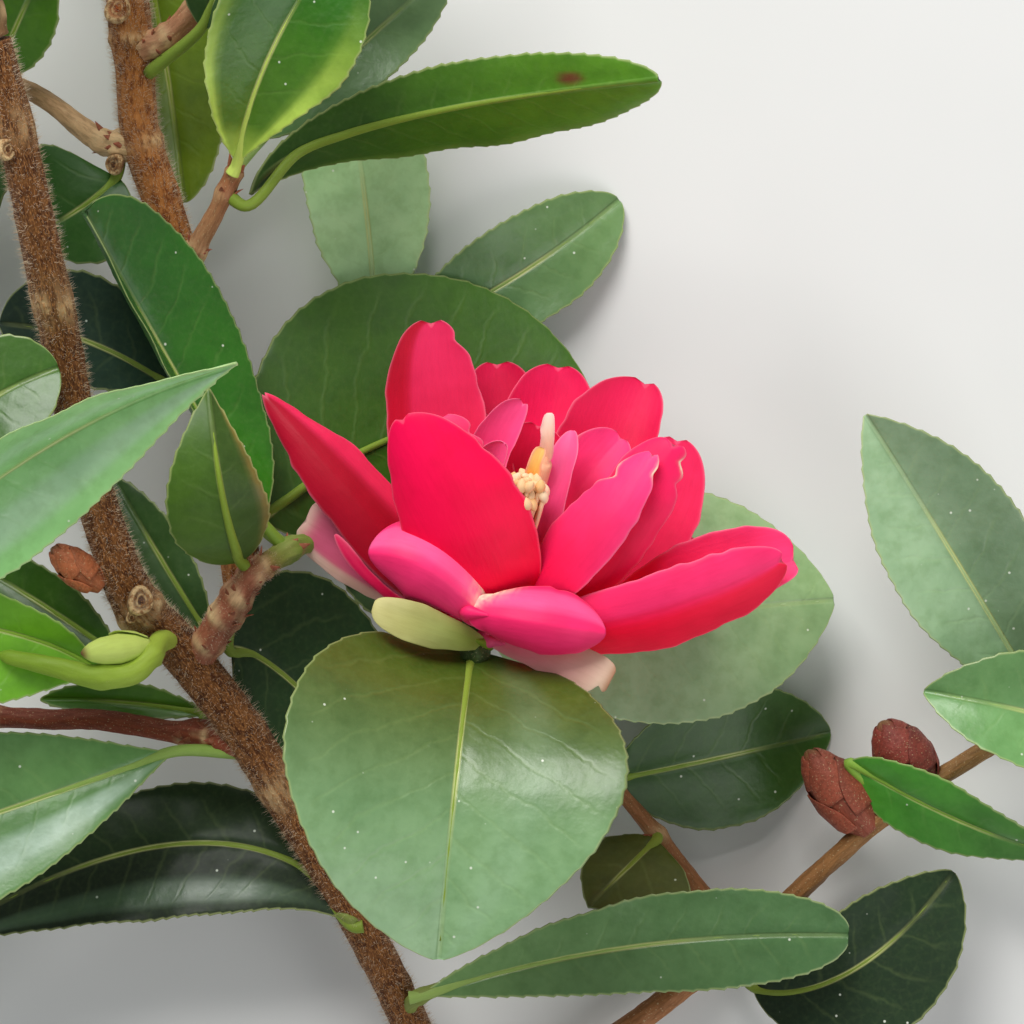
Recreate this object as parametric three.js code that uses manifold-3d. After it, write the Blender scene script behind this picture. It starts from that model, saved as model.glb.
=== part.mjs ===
// A cut branch of garden camellia with one open red bloom, lying on its back leaves.
// Millimetres, +Z up. The branch lies on the plane z = 0 and the bloom looks up and forward.
// X runs to the right and Y away, as the branch is seen from above with its cut end nearest.

import * as THREE from 'three';
import { mergeVertices } from 'three/addons/utils/BufferGeometryUtils.js';
import Module from 'manifold-3d';

const wasm = await Module();
wasm.setup();

// Driving sizes, mm.
const SHIFT = [14.1, -9.4, 0];     // moves the whole branch so that its box stands on the origin
const GAP = 0.3;                   // clear space where a twig meets its stem
const LEAF_THICK = 0.62;           // blade of a leaf
const PETAL_THICK = 0.56;          // blade of a petal or sepal
const EDGE_HALF = 0.32;            // half width that a blade keeps at its two ends
const STALK_HALF = 0.55;           // half the width of a leaf stalk
const CLAW_HALF = 0.8;             // half the width of a petal's narrow foot
const ROOT_SINK = 1.2;             // how far a leaf with no stalk of its own starts inside its twig
const SMALL_HALF = 3.6;            // a petal narrower than this gets fewer steps

// Steps of the facets.
const STEM_SIDES = 10;
const TWIG_SIDES = 7;
const BUD_SIDES = 8;
const STAMEN_SIDES = 4;
const LEAF_GRID = [7, 2];          // along and across a leaf; the first step along is its stalk
const PETAL_GRID = [5, 4];
const SMALL_GRID = [4, 2];

// Stems. Each row is [x, y, z, radius], from foot to tip; the stem is a tapering tube bent through them.
const STEMS = [
  ["main_stem", [[-4.5, -81.5, 2.7, 2.5], [-9, -68.5, 5, 2.4], [-12, -60, 8.5, 2.2], [-18, -47, 15, 2.1],
    [-24.5, -35.5, 19, 2.3], [-31, -24.5, 23, 2.5], [-38, -15, 27, 2.5], [-42.5, -10, 29.5, 2.6],
    [-45.5, -2, 32, 2.2], [-48, 8, 36, 2.1], [-49.5, 18.5, 41, 2.1], [-51.5, 30, 46, 2.1],
    [-53.5, 41, 50, 2], [-55.5, 50.5, 53, 1.8]]],
  ["second_stem", [[-26.5, -33, 19, 1.7], [-29, -26.5, 14.5, 2], [-30.5, -15, 14.5, 2.2],
    [-32.5, 1.5, 16, 2.3], [-35.5, 16.5, 18.5, 2.3], [-38, 28, 20.5, 2.2], [-40.5, 37, 22, 2.2],
    [-42.5, 43.5, 23, 2.2], [-43, 50.5, 24, 2.2], [-43.5, 56, 25, 2.4], [-44, 60, 25, 2.2]]],
];

// Sprays: name, the stem each grows from, its twigs as rows of [x, y, z, radius], then its leaves.
// A leaf's row: name, twig, place along the twig (0 to 1), stalk [dx, dy, dz], [heading, rise, length],
// half widths [left, right], roll about the midrib, [arch, sweep, where the bend comes early], then,
// where they aren't the usual ones, the fold and the curl of each half and how blunt foot and tip are.
const USUAL_FOLD = [8, 8];
const USUAL_CURL = [10, 10];
const USUAL_ENDS = [0.75, 0.75];
const SPRAYS = [
  ["flower_spray", "main_stem", [
    ["flower_twig", [[-36, -17, 26, 1.8], [-33.5, -13.5, 29, 1.8], [-31.5, -10.5, 30.5, 1.7],
      [-29.5, -7.5, 31, 1.4], [-27, -5.5, 31.5, 1.3], [-23.5, -3.5, 31, 1.1], [-18.5, -4, 28, 1.1],
      [-12.5, -7.5, 26, 1.2], [-8, -11.5, 26.5, 1.2], [-4.5, -14.5, 28.5, 1.2]]],
  ], [
    ["front", "flower_twig", 1, [0, -1, 2.5], [-96, 24.5, 36.5], [18.5, 18.5], 2, [9.5, -0.5, 1],
      [6, 1], [18, 10], [0.7, 0.85]],
    ["upright", "flower_twig", 0.5, [-3, 3.5, -1], [119, 12, 40], [10, 8.5], -38, [-4.5, -3, 1],
      [12, 41], [-4, 20], [0.65, 0.45]],
    ["upright_small", "flower_twig", 0.36, [-1.5, 1.5, 1.5], [99, 20, 20.5], [6.5, 5], 172, [-5, -1, 1],
      [3, 3], [12, 13], [0.5, 0.9]],
    ["far_right", "flower_twig", 0.51, [-3.5, 3, -7], [20.5, -19, 43], [19, 15.5], 179, [4.5, -4, 1],
      [1, 4], [16, 15], [0.85, 0.75]],
    ["pale_right", "flower_twig", 0.96, [3.5, -1.5, -7.5], [6.5, -15.5, 42], [13, 15.5], 5, [1, 0.5, 1],
      [3, -6], [3, 3], [0.75, 0.75]],
    ["shade_left", "flower_twig", 0.93, [2, -2, -7], [153.5, -25, 19], [3.5, 3], -2, [1, 0, 1],
      [3, 7], [9, 11]],
    ["under_left", "flower_twig", 0.27, [-1.5, -6.5, -6], [-44.5, -21, 27], [7.5, 12.5], 12, [-2, 2.5, 0.7],
      [9, -10], [15, 0], [0.4, 0.85]],
    ["shade_back", "flower_twig", 0.2, [-2.5, -3.5, -8.5], [121.5, -5, 22], [3.5, 2.5], 5, [1, 0, 1],
      [4, 5], [9, 10]],
  ]],
  ["back_spray", "second_stem", [
    ["back_twig", [[-32.5, 2.5, 16, 1.5], [-29.5, 8, 10.5, 1.3], [-24, 13.5, 7, 1.1], [-19, 18, 5.5, 1],
      [-15, 20.5, 5, 0.8]]],
  ], [
    ["back_upright", "back_twig", 0.96, [-0.5, 0.5, 0], [96, 3, 29], [8, 7.5], 0, [0.5, -0.5, 0.9],
      [0, 8], [8, 17], [0.9, 0.5]],
    ["back_right", "back_twig", 1, [1.5, 1, -0.5], [31, -7, 31], [6.5, 6.5], -7, [2, -1.5, 0.8],
      [5, 4], [14, 10], [0.65, 0.6]],
    ["back_low", "back_twig", 0.75, [1.5, -2, -0.5], [-38, -3, 23.5], [7.5, 7.5], 0, [1, 0.5, 1]],
  ]],
  ["upper_spray", "second_stem", [
    ["upper_twig", [[-38, 25.5, 20.5, 1.4], [-36, 30, 24, 1.4], [-33.5, 34, 27, 1.2], [-31, 39, 29, 1.1]]],
  ], [
    ["long_upper", "upper_twig", 0.81, [2.5, -1.5, 0], [15.5, 18.5, 50.5], [5, 8.5], 147, [7, -1.5, 0.5],
      [7, 15], [21, 16], [0.8, 0.6]],
    ["bright_upper", "upper_twig", 1, [0, 0, 1], [63, 20.5, 29.5], [9, 9], 0, [3.5, 1.5, 1],
      [3, 27], [6, 19], [1.15, 0.65]],
    ["dark_upper", "upper_twig", 1, [2.5, 3.5, -5], [44.5, -16.5, 32], [5, 5], -1, [1.5, 0, 1],
      [3, 6], [8, 11], [0.8, 0.75]],
  ]],
  ["crown_spray", "second_stem", [
    ["crown_twig", [[-44, 60, 25, 2], [-44, 64.5, 25, 1.7], [-44.5, 70, 23.5, 1.4], [-46, 76, 20, 1]]],
  ], [
    ["crown_low", "crown_twig", 0.55, [1.5, -1, -4], [-82, -15, 32.5], [5, 6.5], 5, [1, 0.5, 1],
      [2, 4], [11, 9], [0.7, 0.65]],
    ["crown_tip", "crown_twig", 1, [-0.5, 1, -0.5], [108, -37.5, 31.5], [9.5, 9.5], 6, [4, 0.5, 1]],
    ["crown_right", "crown_twig", 0.82, [1, 0.5, 0.5], [40, -12, 26.5], [9, 9], -6, [4, 0.5, 1]],
    ["crown_left", "crown_twig", 0.55, [-1.5, 0, 1.5], [139, 12, 21.5], [8.5, 8.5], 10, [4, 0.5, 1]],
  ]],
  ["stub_twig", "second_stem", [
    ["stub", [[-43, 52.5, 24.5, 1.6], [-39.5, 53.5, 26, 1.5], [-36.5, 56, 27, 1.4], [-34, 58.5, 27.5, 1.2],
      [-31, 62.5, 27, 1]]],
  ], [
    ["stub_tip", "stub", 1, [0.5, 1, -0.5], [31, -1, 28], [9, 9], -10, [4, 0.5, 1]],
    ["stub_side", "stub", 0.55, [1, -2, 2.5], [55, 14.5, 26.5], [7, 7], 10, [3, 0.5, 1]],
  ]],
  ["left_spray", "second_stem", [
    ["left_twig", [[-42.5, 41.5, 23, 1.5], [-47, 42.5, 21, 1.4], [-50.5, 45, 19, 1.2], [-54.5, 48, 17, 1.1],
      [-61, 51, 14, 0.8]]],
  ], [
    ["left_small", "left_twig", 0.12, [-0.5, -3.5, 0], [-146, -5, 11.5], [8.5, 7], -13, [1, 1, 0.9],
      [6, -5], [9, 4], [0.65, 0.8]],
    ["left_young", "left_twig", 0.92, [-1, -0.5, 3], [61.5, 27, 16.5], [4.5, 4.5], 0, [1, 0, 1],
      [3, -1], [8, 8], [0.85, 0.75]],
    ["left_tip", "left_twig", 1, [-1, 0.5, -0.5], [-170.5, -18, 28], [9, 9], 0, [4, 0.5, 1]],
    ["left_side", "left_twig", 0.92, [-0.5, -1.5, 0.5], [-131.5, -7.5, 27], [8.5, 8.5], 10, [3, 0.5, 1]],
  ]],
  ["front_left_spray", "main_stem", [
    ["front_left_twig", [[-47, 3.5, 34, 1.5], [-52.5, 2, 37, 1.3], [-58, -1, 43, 1.2], [-63.5, -3.5, 50, 1.1],
      [-66.5, -5, 55, 0.9]]],
  ], [
    ["near_big", "front_left_twig", 1, [1, 0, 5], [29.5, -3, 42], [9.5, 10], -52, [-5, -2, 1.1],
      [32, 21], [21, 4], [0.45, 1.1]],
    ["near_small", "front_left_twig", 0.53, [-5.5, 6, -2], [37, 5.5, 18.5], [6.5, 6.5], 11, [1.5, 1.5, 0.9],
      [7, 5], [9, 7], [0.85, 0.55]],
    ["near_tip", "front_left_twig", 1, [-0.5, 0, 0], [162, -20.5, 26], [9, 9], 0, [4, 0.5, 1]],
    ["near_side", "front_left_twig", 0.84, [-0.5, -2, -1], [-152.5, -35, 26.5], [8.5, 8.5], -10, [3, 0.5, 1]],
  ]],
  ["curled_leaf", "main_stem", [
    ["curled_stalk", [[-38, -15, 28, 1.1], [-39.5, -17, 32, 1.1], [-41.5, -19, 34.5, 1.1],
      [-45.5, -19.5, 35, 1.1], [-50, -18, 34, 0.9], [-56, -16, 32.5, 0.8]]],
  ], [
    ["curled_small", "curled_stalk", 0.3, [-3.5, 1.5, -5.5], [149, -16, 23], [4, 3.5], 4, [1, -0.5, 1],
      [0, 8], [8, 13], [0.85, 0.7]],
    ["curled", "curled_stalk", 0.66, [1, 0.5, -5], [168, 2.5, 31], [5.5, 9.5], 19, [0, -3, 0.8],
      [11, 19], [13, 17], [0.95, 0.8]],
  ]],
  ["red_spray", "main_stem", [
    ["red_twig", [[-31, -26.5, 22.5, 1.6], [-35, -25.5, 21.5, 1.5], [-40.5, -25, 20, 1.2],
      [-47.5, -24, 18, 1.2], [-54.5, -24, 16, 1.2], [-63, -23.5, 13, 1.1], [-71, -22, 10, 0.8]]],
  ], [
    ["shade_small", "red_twig", 0.21, [1, 2, -3], [175.5, -11, 20], [2.5, 2], -6, [0.5, -0.5, 0.8]],
    ["glossy", "red_twig", 0.24, [-1, -2, 3], [-161, 2, 45.5], [10.5, 10], -1, [3, 0, 0.9],
      [2, 8], [5, 12], [1.15, 0.7]],
    ["red_tip", "red_twig", 1, [-1, 0, -0.5], [166, -12, 29], [9.5, 9.5], 8, [4, 0.5, 1]],
    ["red_long", "red_twig", 0.94, [0, -1.5, 0], [-114, -15, 40.5], [9, 9], -10, [3, 0.5, 1]],
    ["red_side", "red_twig", 0.78, [0, 1.5, 1], [-163.5, 4.5, 24.5], [7.5, 7.5], 5, [3, 0.5, 1]],
  ]],
  ["low_leaf", "main_stem", [
    ["low_stalk", [[-18, -48, 15.5, 0.9], [-19.5, -45.5, 18, 0.8], [-22, -43.5, 18.5, 0.8]]],
  ], [
    ["low_left", "low_stalk", 0.22, [0, -0.5, 0.5], [-176.5, -6.5, 50.5], [7.5, 9], -21, [3.5, -10, 0.7],
      [-4, -3], [3, 8], [0.65, 1]],
  ]],
  ["low_right_leaf", "main_stem", [
    ["low_right_stalk", [[-12.5, -59, 9, 0.9], [-11, -56.5, 13, 0.8], [-7, -55, 13.5, 0.8]]],
  ], [
    ["low_right", "low_right_stalk", 0.54, [0, 0, 0.5], [8.5, 4, 50.5], [6, 6.5], -11, [0.5, 2.5, 1],
      [7, 7], [7, 11], [0.9, 0.45]],
  ]],
  ["stem_leaf", "second_stem", [
    ["stem_leaf_stalk", [[-35.5, 14.5, 18.5, 0.8], [-37.5, 13.5, 24.5, 0.8], [-39, 14.5, 26.5, 0.8]]],
  ], [
    ["bluish", "stem_leaf_stalk", 0.87, [0, 0, 0], [160, 17.5, 21], [7.5, 5.5], -4, [0.5, -1.5, 1.1],
      [-7, 9], [8, 14], [0.85, 0.6]],
  ]],
  ["right_spray", "main_stem", [
    ["right_shoot", [[-6, -75.5, 4.2, 1.6], [5.5, -67, 4.2, 1.5], [20, -56.5, 4.6, 1.4],
      [27.5, -50.5, 5.6, 1.3], [34, -44.5, 7.4, 1.2], [42, -37, 9.5, 1.1], [52.5, -29.5, 11.5, 1.1],
      [61.5, -24.5, 12.5, 0.9], [69.5, -22.5, 13, 0.8]]],
    ["right_side_twig", [[27.5, -50.5, 5.6, 1.1], [22, -44.5, 7, 1.1], [17, -38, 8.5, 1],
      [11.5, -31.5, 9, 0.8]]],
  ], [
    ["edge_right", "right_shoot", 0.66, [-5.5, 5.5, 2], [-23, 4, 28.5], [5, 5], -47, [1.5, 0, 1.1],
      [9, 1], [14, -10], [0.6, 1.1]],
    ["serrate", "right_shoot", 1, [1.5, -4, 1], [166, 15, 25.5], [7.5, 7.5], -8, [4.5, 0, 1],
      [2, 10], [11, 18], [0.65, 0.8]],
    ["two_toned", "right_shoot", 0.89, [-0.5, 2, -2.5], [122.5, 11.5, 40.5], [9.5, 8.5], -2, [1.5, 0, 1.1],
      [14, 11], [4, 12], [0.95, 0.9]],
    ["dark_right", "right_shoot", 0.34, [3, -4, 0], [31, 7.5, 27.5], [9, 7], 0, [5, -3.5, 0.8],
      [2, 7]],
    ["young_right", "right_side_twig", 0.67, [0, -0.5, 1.5], [-138.5, 29, 12.5], [5.5, 8.5], -20, [0, 0, 0.9],
      [-11, 11], [-6, 2], [0.65, 0.9]],
    ["shade_right", "right_side_twig", 1, [0, 0, 0], [11, -17.5, 28.5], [8.5, 9.5], -11, [0.5, 0, 1],
      [1, 9]],
  ]],
  ["top_spray", "main_stem", [
    ["top_twig", [[-55.5, 51, 53, 1.6], [-56.5, 56, 54.5, 1.4], [-58.5, 61.5, 54.5, 1.1],
      [-60.5, 67, 53, 0.8]]],
  ], [
    ["top_tip", "top_twig", 1, [0, 1, 0], [120, -17, 23.5], [8.5, 8.5], 0, [4, 0.5, 1]],
    ["top_right", "top_twig", 0.85, [1, 0.5, 0], [54, -11, 21.5], [8, 8], 8, [3, 0.5, 1]],
    ["top_left", "top_twig", 0.55, [-2, -0.5, -0.5], [159.5, -15, 23], [8.5, 8.5], -8, [4, 0.5, 1]],
    ["top_low", "top_twig", 0.15, [-2, 0, -1], [-146, -8, 21.5], [8, 8], 6, [3, 0.5, 1]],
  ]],
];

// Buds: [foot, tip, greatest radius].
const STEM_BUD = [[-46, -8.5, 31.5], [-51.5, -4, 33], 1.9];
const BUDS = new Map([
  ["curled_leaf", [[[-39.5, -15.5, 30], [-47.5, -15.5, 36.5], 1.75]]],
  ["right_spray", [[[42, -37.5, 9.5], [34.5, -28, 10], 3.2], [[48.5, -32.5, 11], [43, -24.5, 12], 3.4]]],
]);

// The bloom: its heart, the way it looks, and its petals, petal-like stamens and sepals.
// A petal's row is a leaf's, with the foot [x, y, z] of its blade in place of twig, place and stalk.
const HEART = [-2.5, -12.2, 30.5];
const HEART_RADIUS = 3.3;
const AXIS = [0.38, 0.72, 0.58];
const PETALS = [
  ["left", [-5.5, -12.5, 29], [129, 3, 32.5], [4.5, 3.5], 158, [-3.5, -1, 0.9], [7, 6], [37, 32], [0.75, 0.65]],
  ["tall", [-4.5, -11.5, 25], [98, -3.5, 34], [6, 6.5], -1, [-2.5, 1, 1], [-1, -2], [29, 29], [0.85, 0.55]],
  ["front", [-3, -12.5, 34], [113.5, 28.5, 28.5], [6, 7.5], 183, [-7, 1, 0.7], [6, -19], [41, 26], [0.7, 0.8]],
  ["lobe_left", [-3.5, -13, 36], [136.5, 32.5, 18], [4, 4.5], 182, [-1.5, 0.5, 1], [0, 2], [40, 40], [1, 0.45]],
  ["lobe_right", [-3.5, -12, 36], [0, 43.5, 18], [4.5, 4.5], 165, [-2.5, -1, 0.9], [-10, 4], [36, 48],
    [0.9, 0.45]],
  ["right", [1, -13.5, 35], [17, 10.5, 33], [5.5, 5], 150, [-4.5, 0.5, 1], [-5, -6], [43, 48], [0.5, 0.35]],
  ["back_right", [-1, -11.5, 25], [58, -6.5, 31.5], [4.5, 7], 26, [-1.5, -2.5, 0.6], [-12, 12], [35, 39],
    [1.15, 0.6]],
  ["inner_right", [0, -12.5, 33], [50, 16.5, 25.5], [4.5, 3], 200, [-4.5, 2, 1.1], [11, -4], [34, 20],
    [0.8, 0.7]],
  ["middle_right", [1, -13, 34], [49, 13.5, 27], [3, 4.5], 167, [-3, 2.5, 0.9], [4, 3], [35, 28],
    [0.95, 0.45]],
  ["far_right", [0.5, -13, 28], [49.5, -6, 28.5], [5, 6], 5, [-2, -4.5, 0.9], [-2, 1], [29, 31], [0.95, 0.55]],
  ["back_left", [-3.5, -10.5, 23], [86, -14.5, 29], [5, 3.5], 6, [-2, -0.5, 0.9], [-1, 0], [29, 31],
    [0.95, 0.45]],
  ["back_middle", [-2, -10.5, 23], [75, -10, 29], [5.5, 5], 6, [-1.5, -1, 1], [-1, 7], [28, 33], [1, 0.45]],
  ["ribbon_wide", [-2, -9.5, 28], [79.5, -4.5, 22], [1.7, 4.5], 10, [-1, 0, 1], [-2, 3], [36, 36], [1, 0.4]],
  ["ribbon_tall", [-1.5, -10, 31], [82, 5, 18], [1.7, 3], 19, [-1.5, 1.5, 1.1], [2, 1], [33, 35], [1, 0.35]],
  ["ribbon_thin", [0, -10, 31], [73.5, 5, 21.5], [1.5, 2], 179, [-1.5, 1, 1], [0, 2], [35, 36], [0.95, 0.45]],
  ["green_sepal", [-3, -14.5, 33], [160.5, 25.5, 14], [2.7, 1.2], 176, [-3, 0, 1], [-2, -1], [20, 18],
    [0.95, 0.6]],
  ["pink_sepal", [-2, -14, 35.5], [-21.5, 24, 14.5], [1.7, 1.8], 190, [0.5, 0, 1], [-4, 5], [14, 23],
    [1.1, 0.4]],
  ["left_sepal", [-6.5, -12.5, 26], [145, 3, 21], [2.5, 3.5], 196, [-2.5, 0, 0.8], [-4, -1], [14, 22],
    [0.95, 0.2]],
  ["strip", [-7, -12.5, 30], [142, 9, 16.5], [0.8, 1.3], 187, [-2, -1.5, 1], [0, 0], [40, 39], [1, 0.5]],
];

// Petals on the far side of the bloom, fanned from one angle round its axis to another. They lean
// out from the axis by turns, every second one less and shorter.
const FAR_PETALS = { count: 5, from: 205, to: 335, open: 66, closer: 14, length: 25, shorter: 2.5, half: 6.4 };
const FAR_FOOT = 2.2;              // their feet's distance from the middle of the heart
const STAMENS = { count: 3, spread: 1.6, length: 15, radius: 0.9 };

const GOLDEN_ANGLE = 137.5;        // degrees from each stamen to the next round the axis
const DEG = Math.PI / 180;

/** Turns a three.js geometry into a solid: only positions are kept and shared corners are merged. */
function solidOf(geometry) {
  geometry.deleteAttribute('normal');
  geometry.deleteAttribute('uv');
  const merged = mergeVertices(geometry, 1e-4);
  const mesh = new wasm.Mesh({
    numProp: 3,
    vertProperties: new Float32Array(merged.attributes.position.array),
    triVerts: new Uint32Array(merged.index.array),
  });
  mesh.merge();
  return new wasm.Manifold(mesh);
}

/** The curve through a row of points. */
function curveOf(rows) {
  return new THREE.CatmullRomCurve3(rows.map((r) => new THREE.Vector3(r[0], r[1], r[2])), false, 'centripetal');
}

/** Directions square to a path, carried along it without twist. */
function carried(tangents) {
  const normals = [];
  let n = new THREE.Vector3(0, 0, 1);
  for (const t of tangents) {
    n = squared(n, t);
    normals.push(n);
  }
  return normals;
}

/** A closed tapering tube through rows of [x, y, z, radius]; extra widens it all round and past its ends. */
function limb(rows, sides, extra = 0) {
  const curve = curveOf(rows);
  const steps = rows.length - 1;
  const points = rows.map((row, i) => curve.getPoint(i / steps));
  const tangents = points.map((p, i) => {
    const before = points[Math.max(i - 1, 0)];
    const after = points[Math.min(i + 1, steps)];
    return after.clone().sub(before).normalize();
  });
  const normals = carried(tangents);
  points[0].addScaledVector(tangents[0], -extra);
  points[steps].addScaledVector(tangents[steps], extra);
  const tube = new THREE.CylinderGeometry(1, 1, 1, sides, steps, false);
  const pos = tube.attributes.position;
  for (let i = 0; i < pos.count; i += 1) {
    const k = Math.round((pos.getY(i) + 0.5) * steps);
    const radius = rows[k][3] + extra;
    const side = new THREE.Vector3().crossVectors(tangents[k], normals[k]);
    const p = points[k].clone()
      .addScaledVector(normals[k], pos.getX(i) * radius)
      .addScaledVector(side, -pos.getZ(i) * radius);
    pos.setXYZ(i, p.x, p.y, p.z);
  }
  return solidOf(tube);
}

/** Share of the full half width at t: t^foot (1 - t)^tip, scaled so that its crest is 1. */
function bladeShape(t, foot, tip) {
  const crest = foot / (foot + tip);
  return (t ** foot * (1 - t) ** tip) / (crest ** foot * (1 - crest) ** tip);
}

/** Midrib and frame of a leaf or petal, from its base and its row's sizes. */
function bladeFrame(base, [heading, rise, length], roll, [arch, sweep, early]) {
  const c = new THREE.Vector3(
    Math.cos(rise * DEG) * Math.cos(heading * DEG),
    Math.cos(rise * DEG) * Math.sin(heading * DEG),
    Math.sin(rise * DEG),
  );
  const up = squared(new THREE.Vector3(0, 0, 1), c);
  const across = new THREE.Vector3().crossVectors(up, c);
  const n = up.clone().multiplyScalar(Math.cos(roll * DEG)).addScaledVector(across, Math.sin(roll * DEG));
  const s = across.clone().multiplyScalar(Math.cos(roll * DEG)).addScaledVector(up, -Math.sin(roll * DEG));
  const mid = (t) => {
    const e = Math.max(t, 0) ** early;
    const bump = 4 * e * (1 - e);
    return base.clone().addScaledVector(c, length * t)
      .addScaledVector(n, arch * bump)
      .addScaledVector(s, sweep * bump);
  };
  return { c, n, mid };
}

/** A direction made square to another, of length 1. */
function squared(v, to) {
  return v.clone().addScaledVector(to, -v.dot(to)).normalize();
}

/** Frame of a stalk's first ring, square to the stalk and turned as little as can be from the blade's. */
function stalkFrame(n, s, tan) {
  if (Math.abs(n.dot(tan)) < Math.abs(s.dot(tan))) {
    const nn = squared(n, tan);
    return [nn, new THREE.Vector3().crossVectors(nn, tan)];
  }
  const ss = squared(s, tan);
  return [new THREE.Vector3().crossVectors(tan, ss), ss];
}

/**
 * A thin closed blade: a box whose length, width and thickness follow the curved middle surface.
 * Its first step is the stalk, from the root to the base, and the other steps run along the midrib.
 * Each half of the blade folds up from the midrib and curls on towards its edge. extra widens it
 * all round and past both its ends.
 */
function blade(root, base, row, thick, stalk, grid, extra = 0) {
  const [size, half, roll, bend, fold = USUAL_FOLD, curl = USUAL_CURL, ends = USUAL_ENDS] = row;
  const { n, mid } = bladeFrame(base, size, roll, bend);
  const box = new THREE.BoxGeometry(1, 1, 1, grid[0], grid[1], 1);
  const pos = box.attributes.position;
  for (let i = 0; i < pos.count; i += 1) {
    const step = Math.round((pos.getX(i) + 0.5) * grid[0]);
    const t = Math.max(step - 1, 0) / (grid[0] - 1);
    const s = pos.getY(i) * 2;
    const side = s < 0 ? 0 : 1;
    const q = Math.abs(s);
    const along = mid(Math.min(t + 0.01, 1)).sub(mid(Math.max(t - 0.01, 0))).normalize();
    let nn = squared(n, along);
    let ss = new THREE.Vector3().crossVectors(nn, along);
    let centre = mid(t);
    if (step === 0) {
      const way = base.clone().sub(root).normalize();
      centre = root.clone().addScaledVector(way, -extra);
      [nn, ss] = stalkFrame(nn, ss, way);
    } else if (step === grid[0]) {
      centre.addScaledVector(along, extra);
    }
    const onStalk = step < 2;
    const width = extra + (onStalk ? stalk : Math.max(half[side] * bladeShape(t, ends[0], ends[1]), EDGE_HALF));
    const deep = 2 * extra + (onStalk ? Math.max(thick, 2 * stalk) : thick);
    const f = onStalk ? 0 : fold[side] * DEG;
    const c = (onStalk || curl[side] === 0 ? 0.1 : curl[side]) * DEG;
    const out = ((Math.sin(f + c * q) - Math.sin(f)) / c) * Math.sign(s);
    const lift = (Math.cos(f) - Math.cos(f + c * q)) / c;
    const turn = q < 0.01 ? 0 : f + c * q;
    const face = nn.clone().multiplyScalar(Math.cos(turn)).addScaledVector(ss, -Math.sign(s) * Math.sin(turn));
    const p = centre.clone().addScaledVector(ss, width * out).addScaledVector(nn, width * lift)
      .addScaledVector(face, pos.getZ(i) * deep);
    pos.setXYZ(i, p.x, p.y, p.z);
  }
  return solidOf(box);
}

/** The largest body of a solid: a sealed pocket or a loose scrap is dropped. */
function mainBody(solid) {
  return solid.decompose().reduce((best, part) => (part.volume() > best.volume() ? part : best));
}

/** Joins solids into one body. */
function fuse(list) {
  return mainBody(list.slice(1).reduce((whole, part) => whole.add(part), list[0]));
}

/** An egg-shaped bud from foot to tip: a tube that swells and closes. */
function bud([foot, tip, radius]) {
  const shape = [[0, 0.45], [0.2, 0.85], [0.45, 1], [0.7, 0.8], [0.9, 0.42], [1, 0.12]];
  const rows = shape.map(([t, r]) => [
    THREE.MathUtils.lerp(foot[0], tip[0], t),
    THREE.MathUtils.lerp(foot[1], tip[1], t),
    THREE.MathUtils.lerp(foot[2], tip[2], t),
    radius * r,
  ]);
  return limb(rows, BUD_SIDES);
}

/** One leaf with its stalk, grown from a twig; extra widens both all round. */
function leafOn(twigs, [, twig, at, stalk, ...row], extra = 0) {
  const onTwig = curveOf(twigs.get(twig)).getPoint(at);
  const base = onTwig.clone().add(new THREE.Vector3(...stalk));
  const { c } = bladeFrame(base, row[0], row[2], row[3]);
  const root = base.distanceTo(onTwig) > ROOT_SINK ? onTwig : base.clone().addScaledVector(c, -ROOT_SINK);
  return blade(root, base, row, LEAF_THICK, STALK_HALF, LEAF_GRID, extra);
}

/** One petal, with the narrow foot that joins it to the heart. */
function petalOf([, foot, ...row]) {
  const grid = Math.max(...row[1]) < SMALL_HALF ? SMALL_GRID : PETAL_GRID;
  return blade(new THREE.Vector3(...HEART), new THREE.Vector3(...foot), row, PETAL_THICK, CLAW_HALF, grid);
}

/** The bloom's own directions: along its axis, level to the right of it, and down its front. */
function bloomFrame() {
  const axis = new THREE.Vector3(...AXIS).normalize();
  const right = new THREE.Vector3().crossVectors(axis, new THREE.Vector3(0, 0, 1)).normalize();
  const front = new THREE.Vector3().crossVectors(right, axis).normalize();
  return { axis, around: (a) => right.clone().multiplyScalar(Math.cos(a)).addScaledVector(front, Math.sin(a)) };
}

/** Rows of the far petals. */
function farPetals() {
  const { axis, around } = bloomFrame();
  const rows = [];
  for (let i = 0; i < FAR_PETALS.count; i += 1) {
    const out = around(THREE.MathUtils.lerp(FAR_PETALS.from, FAR_PETALS.to, i / (FAR_PETALS.count - 1)) * DEG);
    const open = (FAR_PETALS.open - (i % 2) * FAR_PETALS.closer) * DEG;
    const way = axis.clone().multiplyScalar(Math.cos(open)).addScaledVector(out, Math.sin(open));
    const foot = new THREE.Vector3(...HEART).addScaledVector(out, FAR_FOOT);
    const size = [Math.atan2(way.y, way.x) / DEG, Math.asin(way.z) / DEG,
      FAR_PETALS.length - (i % 2) * FAR_PETALS.shorter];
    rows.push([`far_${i}`, foot.toArray(), size, [FAR_PETALS.half, FAR_PETALS.half], 0, [-2.5, 0, 1],
      [0, 0], [30, 30], [0.9, 0.5]]);
  }
  return rows;
}

/** The stamens: a tuft of blunt threads from the heart along the axis. */
function stamens() {
  const { axis, around } = bloomFrame();
  const list = [];
  for (let i = 0; i < STAMENS.count; i += 1) {
    const spread = STAMENS.spread * Math.sqrt((i + 0.5) / STAMENS.count);
    const tip = new THREE.Vector3(...HEART).addScaledVector(axis, STAMENS.length - i)
      .addScaledVector(around(i * GOLDEN_ANGLE * DEG), spread);
    list.push(limb([[...HEART, STAMENS.radius * 1.6], [...tip.toArray(), STAMENS.radius]], STAMEN_SIDES));
  }
  return list;
}

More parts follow.
